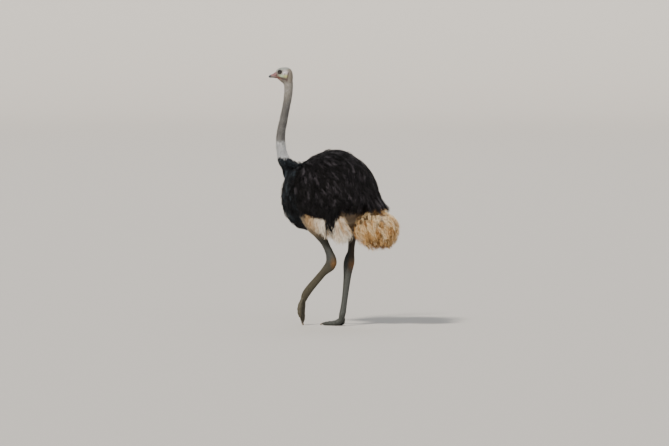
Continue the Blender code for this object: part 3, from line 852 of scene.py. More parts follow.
def make_neck_rings():
    """Rings of the skin from the bill's base to inside the trunk: radii read by rays in planes
    square to the path, less the coat, plus the face's swellings and the neck's folds."""
    line, so_far, lowest = neck_path()
    at = np.r_[
        np.linspace(0.0, HEAD_LENGTH, HEAD_ROWS, endpoint=False),
        np.linspace(HEAD_LENGTH, so_far[-1], NECK_ROWS + 1),
    ]
    path = read_path(line, so_far, at)
    along = unit(read_path(line, so_far, at + 0.016) - read_path(line, so_far, at - 0.016))
    wide = unit(ACROSS - along * (along @ ACROSS)[:, None])
    deep = np.cross(wide, along)
    ways = ring_ways(wide, deep, NECK_SIDES)
    solids = triangles_of("head", "eye_left", "eye_right", *NECK)
    coarse_ways = ring_ways(wide[::COARSE], deep[::COARSE], NECK_RAYS)
    starts = (path + along * 0.0015)[::COARSE]
    coarse = reach_rings(starts, coarse_ways, solids, 0.085)
    free = path[::COARSE, 2] > lowest  # inside the trunk the radii grow by a straight line
    last = np.flatnonzero(free)[-1]
    grown = 1 + 6.5 * (at[::COARSE] - at[::COARSE][last])
    coarse = np.where(free[:, None], coarse, coarse[last].mean() * grown[:, None])
    coarse = unfaceted(coarse)
    below = hump(np.arange(NECK_RAYS)[None, :] / NECK_RAYS, 0.75, 0.17)
    for _ in range(6):  # the underside of chin and throat is smoothed along the path
        soft = (np.roll(coarse, 1, axis=0) + 2 * coarse + np.roll(coarse, -1, axis=0)) / 4
        coarse[1:-1] += (below * (soft - coarse))[1:-1]
    rows = np.arange(len(at)) / COARSE
    radii = cubic_turn(cubic_read(coarse, rows), NECK_SIDES)
    radii -= neck_coat_depth(path[:, 2])[:, None]
    rings = path[:, None, :] + ways * radii[..., None]
    neck = 1 - ease(rings[..., 2], EYES[2] - 0.13, EYES[2] - 0.07)
    folds = np.sin(at[:, None] * 2 * np.pi / NECK_FOLD + 2.2 * ripple(rings, 0.06, 5))
    swell = face_swell(rings) + neck * (0.0007 * folds + 0.0014 * ripple(rings, 0.035, 6))
    throat = hump(np.arange(NECK_SIDES) / NECK_SIDES, 0.75, 0.07)[None, :]
    swell = swell + throat * hump(rings[..., 2], EYES[2] - 0.135, 0.035) * 0.0018 * folds
    return rings + ways * swell[..., None], ways, at


def trunk_rings():
    """Rings round the trunk, as deep under the plumage as the skin lies."""
    v = np.linspace(0.012, 0.988, TRUNK_ROWS)[:, None]
    u = np.arange(TRUNK_SIDES)[None, :] / TRUNK_SIDES
    ways = Form.ways(u, v)
    return BODY.place(ways, body_depth(ways))


LID_OPENING = (0.86, 0.62, 0.55)  # half angles of the eye's opening: length, upper lid, lower lid
LID_TURN = 0.08  # the gaze points this far ahead of square
LID_CORNER = 1.75  # power of the opening's outline: 2 is an oval, less is more of an almond
LID_ROWS, LID_SIDES = 26, 72


def eye_axes(side, sign):
    """Middle of the eyeball, its gaze, and the ways ahead and up square to the gaze."""
    gaze = unit(ACROSS * sign + AHEAD * LID_TURN + UP * 0.02)
    ahead = unit(AHEAD - gaze * (AHEAD @ gaze))
    up = unit(UP - gaze * (UP @ gaze) - ahead * (UP @ ahead))
    return middle_of("eye_" + side), gaze, ahead, up


def lid_edge(turn):
    """Angle from the gaze of the lids' edge, round the almond of the opening: the sum of both
    shares, each raised to the corner's power, is 1."""
    high = np.where(np.sin(turn) > 0, LID_OPENING[1], LID_OPENING[2])
    across, rise = np.abs(np.cos(turn)) / LID_OPENING[0], np.abs(np.sin(turn)) / high
    return (across**LID_CORNER + rise**LID_CORNER) ** (-1 / LID_CORNER)


def globe(side, sign, angles, radii):
    """Rings of a ball round the gaze: angles and radii hold one row per ring."""
    middle, gaze, ahead, up = eye_axes(side, sign)
    turn = 2 * np.pi * np.arange(angles.shape[1])[None, :] / angles.shape[1]
    spoke = np.cos(turn)[..., None] * ahead + np.sin(turn)[..., None] * up
    ways = np.cos(angles)[..., None] * gaze + np.sin(angles)[..., None] * spoke
    return middle + ways * radii[..., None]


def lid_rings(side, sign):
    """A ball a little larger than the eyeball, sunk behind its surface inside the opening: the rim
    is the lids' edge, and folds run round outside it."""
    turn = 2 * np.pi * np.arange(LID_SIDES)[None, :] / LID_SIDES
    edge = lid_edge(turn)
    inside = edge * np.array([0.04, 0.5, 0.9, 0.985])[:, None]
    rim = edge + np.array([0.0, 0.02, 0.05, 0.085, 0.125])[:, None]
    share = np.linspace(0.06, 0.985, LID_ROWS)[:, None]
    outside = edge + 0.125 + (np.pi - edge - 0.125) * share
    angles = np.concatenate([inside, rim, outside])
    past = angles - edge
    upper = np.maximum(np.sin(turn), 0)
    radii = EYE_RADIUS - 0.0022 + 0.0042 * ease(past, -0.035, 0.035)
    radii = radii + 0.0007 * hump(past, 0.06, 0.05)
    radii = radii - 0.0008 * upper * hump(past, 0.30, 0.05) - 0.0005 * hump(past, 0.22, 0.04)
    radii = radii + 0.00025 * np.sin(past * 55) * ease(past, 0.1, 0.3)
    return globe(side, sign, angles, radii)


HOCKS, ANKLES = {}, {}  # places of hocks and of the toes' roots, which leg_rings finds
LEG_LEVELS, LEG_RAYS, LEG_SIDES = 40, 40, 56
INNER_ROWS, THIGH_ROWS = 14, 46  # rings inside the trunk and down to the hock
SHANK_STEP = 0.0021  # between rings below it
SHANK_PLATE, HOCK_CREASE, TOE_PLATE, TOE_PAD = 0.0115, 0.0085, 0.0085, 0.042  # from one to the next


def leg_rings(side):
    """Rings of a leg in level planes, from inside the trunk to the root of the toes, with the
    hock's knobs, the tendon, folds, and the broad plates down the front of the tarsus."""
    solids = triangles_of("drumstick_" + side, "shank_" + side)
    low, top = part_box("shank_" + side)[0].z + 0.016, TRUNK_LOW[2]
    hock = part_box("shank_" + side)[1].z
    levels = np.linspace(top, low, LEG_LEVELS)
    middles = slice_middles(solids, np.zeros(3), UP, levels)
    coarse = reach_rings(middles, same_ways(LEFT, BACK, LEG_LEVELS, LEG_RAYS), solids)
    heights = np.r_[
        np.linspace(top, hock + 0.04, THIGH_ROWS, endpoint=False),
        np.linspace(hock + 0.04, low, int((hock + 0.04 - low) / SHANK_STEP)),
    ]
    rows = np.interp(-heights, -levels, np.arange(LEG_LEVELS))
    radii = cubic_turn(cubic_read(blurred(coarse, 1), rows), LEG_SIDES) - 0.0012
    path = cubic_read(middles, rows)
    lift = np.linspace(0.16, 0.0, INNER_ROWS, endpoint=False)
    away = (middles[0] - middles[2]) / (middles[0] - middles[2])[2]
    path = np.concatenate([middles[0] + lift[:, None] * away, path])
    radii = np.concatenate([radii[:1] * (1 + 1.9 * lift[:, None]), radii])
    so_far = lengths_along(path)[:, None]
    ways = same_ways(LEFT, BACK, len(path), LEG_SIDES)
    # A turn runs from the left side (0) over the back (0.25) and the right to the front (0.75).
    turn = (np.arange(LEG_SIDES) / LEG_SIDES)[None, :]
    front, back = hump(turn, 0.75, 0.11), hump(turn, 0.25, 0.07)
    flanks = hump(turn, 0.0, 0.08) + hump(turn, 1.0, 0.08) + hump(turn, 0.5, 0.08)
    gutters = hump(turn, 0.13, 0.045) + hump(turn, 0.37, 0.045)
    height = path[:, 2:3]
    tarsus = 1 - ease(height, hock - 0.07, hock - 0.03)
    calf = ease(height, hock + 0.04, hock + 0.10)
    plate = (so_far / SHANK_PLATE + 0.35 * np.sin(turn * 2 * np.pi)) % 1
    ridge = ease(plate, 0.0, 0.18) * (1 - 0.45 * plate)
    rings = path[:, None, :] + ways * radii[..., None]
    swell = tarsus * (front * (0.0013 * ridge - 0.0006) + 0.0016 * back - 0.0014 * gutters)
    swell = swell + 0.0030 * flanks * hump(height, hock - 0.012, 0.020)
    swell = swell - 0.0022 * gutters * hump(height, hock + 0.045, 0.045)
    creases = np.sin(so_far * 2 * np.pi / HOCK_CREASE + 1.5 * ripple(rings, 0.05, 8))
    swell = swell + 0.0009 * creases * hump(height, hock, 0.045) * (front + 0.4)
    swell = swell + calf * (0.0022 * ripple(rings, 0.05, 9) + 0.0008 * ripple(rings, 0.016, 10))
    HOCKS[side] = at_height(path, hock)
    ANKLES[side] = path[-1]
    rings = rings + ways * swell[..., None]
    onward = unit(path[-1] - path[-4])
    # Share of the last ring's radius, and how far past it.
    ends = np.array([[0.97, 0.008], [0.86, 0.014], [0.66, 0.019], [0.36, 0.022]])
    end = path[-1] + (rings[-1] - path[-1]) * ends[:, :1, None] + (onward * ends[:, 1:])[:, None]
    return np.concatenate([rings, end])


def at_height(path, height):
    """The path's place at a height, where heights fall along it."""
    return np.array([np.interp(-height, -path[:, 2], path[:, i]) for i in range(3)])


DIGIT_LEVELS, DIGIT_RAYS = 18, 24
TOE_SIDES, TOE_ROWS, TOE_ROOTS = 36, 64, 8


def digit_rings(name, side, sides, rows, margin, end):
    """Rings of a toe or claw in planes square to its chord from the ankle to its farthest point.
    Where a neighbour's space was taken out of the solid, the ring's own median stands in."""
    solids = triangles_of(name)
    corners = solids.reshape(-1, 3)
    tip = corners[np.argmax(np.linalg.norm(corners - ANKLES[side], axis=1))]
    way = unit(tip - ANKLES[side])
    far = (corners - ANKLES[side]) @ way
    levels = np.linspace(far.min() + margin, far.max() - end, DIGIT_LEVELS)
    middles = slice_middles(solids, ANKLES[side], way, levels)
    top = UP if side == "right" else -BACK  # the left foot stands on its toes' tips
    deep = unit(top - way * (top @ way))
    wide = np.cross(deep, way)
    coarse = reach_rings(middles, same_ways(wide, deep, DIGIT_LEVELS, DIGIT_RAYS), solids)
    usual = np.array([np.median(row[row > 0.001]) for row in coarse])[:, None]
    coarse = np.where(coarse < 0.25 * usual, usual, np.minimum(coarse, 1.35 * usual))
    at = np.linspace(0, DIGIT_LEVELS - 1, rows)
    radii = cubic_turn(cubic_read(blurred(coarse, 1), at), sides)
    path = cubic_read(middles, at)
    return path, same_ways(wide, deep, rows, sides), radii, way


def toe_rings(name, side):
    """A toe: plates across its top, soft pads below, and a rounded end."""
    path, ways, radii, way = digit_rings(name, side, TOE_SIDES, TOE_ROWS, margin=0.010,
                                         end=0.008)
    so_far = lengths_along(path)[:, None]
    # A turn has the toe's top at 0.25 and its sole at 0.75.
    turn = (np.arange(TOE_SIDES) / TOE_SIDES)[None, :]
    top, sole = hump(turn, 0.25, 0.13), hump(turn, 0.75, 0.13)
    plate = (so_far / TOE_PLATE) % 1
    swell = top * (0.0011 * ease(plate, 0.0, 0.2) * (1 - 0.4 * plate) - 0.0005)
    swell = swell + 0.0012 * np.sin(so_far * 2 * np.pi / TOE_PAD) * (1 - sole)
    swell = swell - 0.0010 * (hump(turn, 0.0, 0.04) + hump(turn, 0.5, 0.04) + hump(turn, 1.0, 0.04))
    radii = radii - 0.0006 + swell
    # Share of the last ring's radius, and how far past it as a share of that radius.
    ends = np.array([[0.93, 0.34], [0.80, 0.58], [0.56, 0.80], [0.28, 0.92]])
    ends[:, 1] *= radii[-1].mean()
    roots = np.linspace(0, 1, TOE_ROOTS, endpoint=False)[:, None]
    start = ANKLES[side] + UP * 0.004
    path = np.concatenate([start + (path[0] - start) * roots, path, path[-1] + way * ends[:, 1:]])
    radii = np.concatenate([radii[:1] * (0.75 + 0.25 * roots), radii, radii[-1:] * ends[:, :1]])
    ways = np.repeat(ways[:1], len(path), axis=0)
    return path[:, None, :] + ways * radii[..., None]


def skin_parts():
    """Every shell of the skin with its seam's softness: rings, and how far a join is blended."""
    neck, ways, at = make_neck_rings()
    parts = [("trunk", trunk_rings(), 0.050), ("neck", neck, 0.0)]
    parts += [("lid_" + side, lid_rings(side, sign), 0.0024) for side, sign in SIDES]
    for side, _ in SIDES:
        parts.append(("leg_" + side, leg_rings(side), 0.0))
        for toe in ("toe_big_", "toe_small_"):
            parts.append((toe + side, toe_rings(toe + side, side), 0.011))
    return parts, ways, at


def joined(parts, material):
    """All shells made one by Boolean unions; each point keeps the number of the shell it is on."""
    pieces = []
    for number, (name, rings, _) in enumerate(parts):
        name = "skin" if number == 0 else "shell_" + name
        shell, points = tube_piece(name, rings, material)
        set_values(shell, "shell", np.full(len(points), number))
        pieces.append(shell)
    skin = pieces[0]
    for shell in pieces[1:]:
        union = skin.modifiers.new(shell.name, "BOOLEAN")
        union.operation = "UNION"
        union.solver = "MANIFOLD"
        union.object = shell
    graph = bpy.context.evaluated_depsgraph_get()
    mesh = bpy.data.meshes.new_from_object(skin.evaluated_get(graph))
    skin.modifiers.clear()
    skin.data = mesh
    for shell in pieces[1:]:
        bpy.data.objects.remove(shell)
    return skin


FAR_STEPS, BLEND_ROUNDS = 24, 26  # edges counted away from a seam, and rounds of blending


def soften_seams(skin, blends):
    """Points near a join move towards the mean of their neighbours, most at the join itself."""
    mesh = skin.data
    places = points_of(mesh)
    count = len(places)
    edges = np.empty(len(mesh.edges) * 2, np.int32)
    mesh.edges.foreach_get("vertices", edges)
    a, b = edges.reshape(-1, 2).T
    value = get_values(skin, "shell")
    shell = np.rint(value).astype(int)
    seam = np.abs(value[a] - value[b]) > 0.01
    length = np.linalg.norm(places[a] - places[b], axis=1)
    far, width = np.ones(count), np.zeros(count)  # from the nearest seam, and how wide it blends
    pair = np.maximum(np.array(blends)[shell[a]], np.array(blends)[shell[b]])
    for ends in (a, b):
        far[ends[seam]] = 0.0
        np.maximum.at(width, ends[seam], pair[seam])
    for _ in range(FAR_STEPS):
        for one, other in ((a, b), (b, a)):
            nearer = far[one] + length < far[other]
            width[other[nearer]] = width[one[nearer]]
            np.minimum.at(far, other, far[one] + length)
    weight = np.where(width > 0, 1 - ease(far / np.maximum(width, 1e-6)), 0.0)[:, None] * 0.6
    degree = np.bincount(np.r_[a, b], minlength=count)[:, None]
    for _ in range(BLEND_ROUNDS):
        total = np.zeros_like(places)
        for i in range(3):
            total[:, i] = np.bincount(a, places[b, i], count) + np.bincount(b, places[a, i], count)
        places = places + weight * (total / np.maximum(degree, 1) - places)
    places[:, 2] = np.maximum(places[:, 2], FLOOR)
    mesh.vertices.foreach_set("co", places.astype(np.float32).ravel())
    mesh.update()
    return places


def towards(colours, code, share):
    """Colours moved towards a hex colour by a share from 0 to 1."""
    return colours + (linear(code) - colours) * np.clip(share, 0, 1)[..., None]


def neck_height(places):
    """Height on the neck's markings, whose edges run higher in front and waver a little."""
    forward = COLLAR_MIDDLE - places[..., 1]
    return places[..., 2] - 0.30 * np.clip(forward, -0.07, 0.07) + 0.008 * ripple(places, 0.05, 12)


def neck_shade(colours, places):
    """The neck's markings, the same on skin and down: grey above, a white collar at its foot, and
    black below that."""
    height = neck_height(places)
    collar = ease(height, COLLAR_FOOT - 0.016, COLLAR_FOOT + 0.012)
    white = collar * (1 - ease(height, COLLAR_FOOT + 0.07, COLLAR_FOOT + 0.17))
    colours = towards(colours, "#c9ced2", white)
    smudge = hump(height, COLLAR_FOOT + 0.01, 0.035) * ease(ripple(places, 0.02, 13), -0.2, 0.6)
    colours = towards(colours, "#6d665c", 0.75 * smudge)
    return towards(colours, "#0e0e10", 1 - collar)


# Patches of the face: colour, strength, ahead of the eye, half length, above it, half height.
FACE_PATCHES = (
    ("#eeeaf2", 0.95, -0.048, 0.021, -0.008, 0.020),  # white round the ear
    ("#aac39c", 0.95, -0.016, 0.026, -0.035, 0.012),  # pale green under the eye
    ("#c3c878", 0.9, -0.053, 0.017, -0.036, 0.015),  # yellow green behind it
    ("#6e5650", 0.65, 0.022, 0.011, -0.020, 0.013),  # brown in front of the eye
)


def head_tint(tint, places):
    """Head and upper neck: grey crown and nape, the patches of the face, painted shade along the
    cheek's edge and behind the jaw, red lore and lips, and dark gape, lids and ear."""
    ahead, up, out = face_places(places)
    side = ease(out, 0.01, 0.02)
    head = ease(up, -0.12, -0.06)
    tint = towards(tint, "#8a8781", ease(up, -0.33, -0.18))
    tint = towards(tint, "#7b776e", head)
    # Crown, nape and throat.
    tint = towards(tint, "#8d9390", head * ease(up + 0.25 * (ahead + 0.03), 0.006, 0.026))
    tint = towards(tint, "#7d766b", 0.7 * head * hump(ahead, -0.095, 0.030) * (up < 0.02))
    tint = towards(tint, "#8d7a6c", 0.7 * head * hump(up, -0.062, 0.020) * ease(ahead, -0.05, 0.01))
    for code, strength, a, long, h, high in FACE_PATCHES:
        tint = towards(tint, code, strength * hump(ahead, a, long) * hump(up, h, high))
    # Painted shade along the cheek's edge and in the hollow behind the jaw; then lore, lips and
    # gape.
    painted_shade = hump(from_line(ahead, up, CHEEK_LINE), 0, 0.0095)
    painted_shade = np.maximum(painted_shade, hump(from_line(ahead, up, JAW_CORNER), 0, 0.007))
    tint = towards(tint, "#46302f", 0.9 * painted_shade * head)
    tint = towards(tint, "#906a69", 0.8 * ease(ahead, 0.024, 0.044) * head)
    lips = np.minimum(*(from_line(ahead, up, line) for line in FACE_LINES[1:3]))
    lips = 0.7 * hump(lips, 0, 0.0075) * side * ease(ahead, -0.016, 0.012)
    tint = towards(tint, "#7f504c", lips)
    gape = from_line(ahead, up, FACE_LINES[0])
    tint = towards(tint, "#4a2c28", 0.8 * hump(gape, 0, 0.0016) * side)
    for name, sign in SIDES:  # lids, dark up to a turn past their edge
        middle, gaze, _, _ = eye_axes(name, sign)
        round_eye = np.linalg.norm(places - middle, axis=1)
        turn = np.arccos(np.clip(unit(places - middle) @ gaze, -1, 1))
        near = 1 - ease(round_eye, EYE_RADIUS + 0.0035, EYE_RADIUS + 0.009)
        tint = towards(tint, "#1d1815", near * (1 - ease(turn, 1.2, 1.65)) * 0.95)
    return towards(tint, "#5c4a40", 0.9 * hump(at_ear(ahead, up), 0, 0.6) * side)


def trunk_tint(tint, places):
    """Black under the coat, and the bare tan flank."""
    offset = places - BODY.middle
    ways = unit(offset)
    inside = np.linalg.norm(offset, axis=1) < BODY.distance(ways) + 0.02
    bare = np.maximum(bare_flank(BODY.place(ways)), 1 - inside)
    tint = towards(tint, "#0e0e10", inside * (places[:, 1] > TRUNK_LOW[1] + 0.1))
    return towards(tint, "#80705a", bare * (places[:, 2] < COLLAR_FOOT - 0.2))


def leg_tint(tint, places):
    """Thighs grey, the right one painted brown as the body's shade; shanks dusty, slate on the
    standing leg; hocks tan where they rub behind, and dark in front; and dusty soles."""
    x, y, z = places.T
    legs = 1 - ease(z, TRUNK_LOW[2] - 0.10, TRUNK_LOW[2])
    tint = towards(tint, "#3d3d36", legs)
    # Painted shade: the right thigh is darkened brown as if the body shaded it.
    tint = towards(tint, "#352d23", 0.8 * legs * (x < 0))
    hock = min(HOCKS[side][2] for side, _ in SIDES)
    shank = 1 - ease(z, hock - 0.02, hock + 0.06)
    tint = towards(tint, "#4a4637", shank)
    # The standing foot reaches past the middle plane, so beside it the line between the legs runs
    # along its inner edge. Elsewhere the line is just left of the middle.
    foot_front, foot_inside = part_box("toe_big_right")[0].y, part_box("toe_big_right")[1].x
    by_foot = (y > foot_front - 0.01) & (z < FLOOR + 0.30)
    standing = x < np.where(by_foot, foot_inside + 0.01, 0.02)
    tint = towards(tint, "#3d4343", 0.8 * shank * standing)
    for side, _ in SIDES:
        across, back, above = (places - HOCKS[side]).T
        behind = ease(back, 0.0, 0.030)
        close = np.exp(-((across / 0.06) ** 2) - ((above + 0.028) / 0.045) ** 2)
        around = np.exp(-((across / 0.08) ** 2) - ((above - 0.05) / 0.090) ** 2)
        tint = towards(tint, "#80592b", 0.8 * close * behind)
        tint = towards(tint, "#3b4143", 0.85 * (1 - behind) * around)
    sole = 1 - ease(z, FLOOR + 0.002, FLOOR + 0.012)
    return towards(tint, "#4a443a", 0.6 * sole)


def skin_tint(places):
    """Colour of the skin by place: face and neck, the neck's markings, trunk, and legs."""
    tint = head_tint(np.tile(linear("#646362"), (len(places), 1)), places)
    return leg_tint(trunk_tint(neck_shade(tint, places), places), places)


def make_skin():
    """The whole skin as one piece, painted and marked where it is scaly."""
    parts, ways, at = skin_parts()
    material = skin_finish()
    skin = joined(parts, material)
    places = soften_seams(skin, [blend for _, _, blend in parts])
    set_colours(skin, "tint", skin_tint(places))
    hock = min(HOCKS[side][2] for side, _ in SIDES)
    set_values(skin, "scaly", 1 - ease(places[:, 2], hock + 0.02, hock + 0.10))
    skin.data.shade_smooth()
    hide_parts("head", "neck_upper", "neck_middle", "neck_lower", "trunk",
                *(part + side for side, _ in SIDES
                  for part in ("drumstick_", "shank_", "toe_big_", "toe_small_")))
    return Neck(parts[1][1], ways, at)


# ---------------------------------------------------------------- bill, claws and eyes

BILL_LEVELS, BILL_RAYS, BILL_ROWS, BILL_SIDES = 20, 40, 60, 64
CLAW_ROWS, CLAW_SIDES = 30, 32
EYE_ROWS, EYE_SIDES = 60, 64
NOSTRIL = (0.34, 0.0105)  # share of the bill's length, and out from its middle


def bill_rings(name, top):
    """Half of the bill in planes square to its length, from inside the face to a rounded tip.
    `top` is 1 for the upper half, with nostrils, ridge and nail, and -1 for the lower."""
    solids = triangles_of(name)
    far = (solids.reshape(-1, 3) - EYES) @ AHEAD
    levels = np.linspace(far.min() + 0.009, far.max() - 0.0012, BILL_LEVELS)
    middles = slice_middles(solids, EYES, AHEAD, levels)
    coarse = reach_rings(middles, same_ways(ACROSS, UP, BILL_LEVELS, BILL_RAYS), solids)
    at = np.linspace(0, BILL_LEVELS - 1, BILL_ROWS)
    radii = cubic_turn(cubic_read(coarse, at), BILL_SIDES)
    path = cubic_read(middles, at)
    # Share of the last ring's radius, and how far past it.
    ends = np.array([[0.95, 0.0010], [0.82, 0.0022], [0.60, 0.0030], [0.30, 0.0035]])
    root = path[0] - AHEAD * 0.013
    path = np.concatenate([root[None], path, path[-1] + AHEAD * ends[:, 1:]])
    radii = np.concatenate([radii[:1] * 0.93, radii, radii[-1:] * ends[:, :1]])
    ways = same_ways(ACROSS, UP, len(path), BILL_SIDES)
    rings = path[:, None, :] + ways * radii[..., None]
    share = (((path - EYES) @ AHEAD - far.min()) / (far.max() - far.min()))[:, None]
    out = np.abs((rings - EYES) @ ACROSS)
    rise = np.maximum(ways[..., 2] * top, 0)
    swell = 0.0010 * hump(out, 0, 0.006) * rise * (1 - ease(share, 0.55, 0.8))
    swell = swell + 0.0022 * ease(share, 0.72, 0.82) * (0.35 + 0.65 * rise)
    swell = swell - 0.0006 * hump(share, 0.71, 0.03) * rise
    if top > 0:
        along, aside = share - NOSTRIL[0], out - NOSTRIL[1]
        nostril = np.exp(-((along / 0.13) ** 2) - (aside / 0.0030) ** 2)
        rim = np.exp(-((along / 0.19) ** 2) - (aside / 0.0058) ** 2)
        swell = swell + rise * (0.0014 * rim - 0.0042 * nostril)
    else:
        swell = swell - 0.0016 * hump(out, 0, 0.005) * rise * (1 - ease(share, 0.5, 0.8))
    return rings + ways * swell[..., None], share


def bill_tint(places, share, top):
    """Flesh red at the sides, paler along the ridge, greyer on the lower half, slate at the tip."""
    tint = np.tile(linear("#7c4e50" if top > 0 else "#726966"), (len(places), 1))
    out = np.abs((places - EYES) @ ACROSS)
    if top > 0:
        tint = towards(tint, "#957970", 0.5 * hump(out, 0, 0.007))
        nostril = 0.8 * hump(share, NOSTRIL[0], 0.12) * hump(out, NOSTRIL[1], 0.003)
        tint = towards(tint, "#3a211e", nostril)
    else:
        tint = towards(tint, "#875b57", 0.6 * (1 - ease(share, 0.0, 0.4)))
    return towards(tint, "#2b3540", ease(share + 0.05 * ripple(places, 0.01, 20), 0.60, 0.74))


def make_bill():
    """Both halves, of the same horn."""
    material = horn_finish("bill_rhamphotheca_horn", 0.42)
    for name, top in (("bill_upper", 1), ("bill_lower", -1)):
        rings, share = bill_rings(name, top)
        piece, points = tube_piece("horn_" + name, rings, material)
        share = np.concatenate([np.repeat(share[:, 0], rings.shape[1]), share[0], share[-1]])
        set_colours(piece, "tint", bill_tint(points, share, top))
        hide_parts(name)


def make_claws():
    """Flat nails with a low ridge, paler at their worn tips."""
    material = horn_finish("claw_keratin_horn", 0.5)
    share = np.linspace(0, 1, CLAW_ROWS)[:, None]
    turn = (np.arange(CLAW_SIDES) / CLAW_SIDES)[None, :]
    for side, _ in SIDES:
        name = "claw_" + side
        path, ways, radii, way = digit_rings(name, side, CLAW_SIDES, CLAW_ROWS, margin=0.005,
                                             end=0.003)
        radii = radii * (1 + 0.10 * hump(turn, 0.25, 0.06)) + 0.0002 * np.sin(share * 60)
        # Share of the ring's radius, and how far before the first ring or past the last.
        back = np.array([[0.30, 0.026], [0.52, 0.017], [0.76, 0.008]])
        ends = np.array([[0.85, 0.0014], [0.55, 0.0026], [0.2, 0.0031]])
        path = np.concatenate([path[0] - way * back[:, 1:], path, path[-1] + way * ends[:, 1:]])
        radii = np.concatenate([radii[:1] * back[:, :1], radii, radii[-1:] * ends[:, :1]])
        ways = np.repeat(ways[:1], len(path), axis=0)
        rings = path[:, None, :] + ways * radii[..., None]
        rings[..., 2] = np.maximum(rings[..., 2], FLOOR)
        piece, points = tube_piece("horn_" + name, rings, material)
        along = (points - path[0]) @ way
        worn = ease(along / along.max() + 0.06 * ripple(points, 0.012, 30), 0.55, 0.95)
        tint = np.tile(linear("#3d3831"), (len(points), 1))
        set_colours(piece, "tint", towards(tint, "#8a7b66", worn))
        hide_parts("claw_" + side)


def make_eyes():
    """Eyeballs with a low dome of cornea; each point keeps its angle from the gaze."""
    material = eye_finish()
    for side, sign in SIDES:
        angles = np.linspace(0.02, np.pi - 0.05, EYE_ROWS)[:, None] + np.zeros((1, EYE_SIDES))
        dome = 0.0012 * (1 - np.clip(angles / 0.72, 0, 1) ** 2)
        rings = globe(side, sign, angles, EYE_RADIUS - 0.0003 + dome)
        piece, _ = tube_piece("globe_" + side, rings, material)
        set_values(piece, "turn", np.r_[angles.ravel(), 0.0, np.pi])
        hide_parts("eye_" + side)


# ---------------------------------------------------------------- coat

# Plumes and tufts sown for each part of the coat.
BODY_PLUMES, FRINGE_PLUMES, RUMP_PLUMES, WHITE_PLUMES = 7300, 330, 90, 118
NECK_DOWN, COLLAR_DOWN, FOOT_PLUMES, NAPE_PLUMES, FACE_BRISTLES = 3700, 1750, 1560, 130, 1500
TAIL_COURSES = ((340, 1.0, 0.115, 46), (120, 0.62, 0.13, 28))  # count, level, length, barbs
LASHES = ((46, 0.10, 0.92, 0.013), (22, 1.15, 1.85, 0.005))  # count, from and to, length
EAR_HAIRS = 60
HAIR = np.linspace(0, 1, 5)[None, :, None]  # shares of a short shaft's length at its places


def turned(vectors, normals, angles):
    """Vectors lying on a surface, turned about its normal."""
    angles = angles[:, None]
    return vectors * np.cos(angles) + np.cross(normals, vectors) * np.sin(angles)


def lie(form, depth, ways, lengths, levels, lean, angles, tips, rise=0.35, hang=0.0, steps=8):
    """Shafts that start at the skin under these ways and follow the coat: each step goes along the
    surface down the way of `lean`, turned by the plume's own angle, and the height over the skin
    grows to its level of the depth, with `tips` added at its end. Where the surface turns under,
    `hang` lets them fall free."""
    places = form.place(ways, depth(ways))
    shafts = [places]
    start_normals = form.normal(ways)
    for step in range(1, steps + 1):
        share = step / steps
        normal = form.normal(ways)
        flow = lean(places)
        flow = unit(flow - normal * (flow * normal).sum(-1, keepdims=True))
        flow = turned(flow, normal, angles)
        falling = (hang * ease(-normal[:, 2], 0.0, 0.55))[:, None]
        flow = unit(flow * (1 - falling) - UP * falling)
        moved = places + flow * (lengths / steps)[:, None]
        ways_next = unit(moved - form.middle)
        height = levels * ease(share / rise) + tips * ease(share, 0.5, 1.0)
        on_coat = form.place(ways_next, depth(ways_next) * (1 - height))
        places = on_coat * (1 - falling) + moved * falling
        ways = unit(places - form.middle)
        shafts.append(places)
    return np.stack(shafts, axis=1), start_normals


def body_lie(places):
    """The lie of the body plumes: down and back, level over the top, swept in slow waves."""
    top = ease(unit(places - BODY.middle)[:, 2:], 0.30, 0.95)
    sway = LEFT * 0.12 * ripple(places, 0.30, 40)[:, None]
    return unit(BACK * (0.42 + 1.2 * top) - UP * (1 - 0.3 * top) + sway)


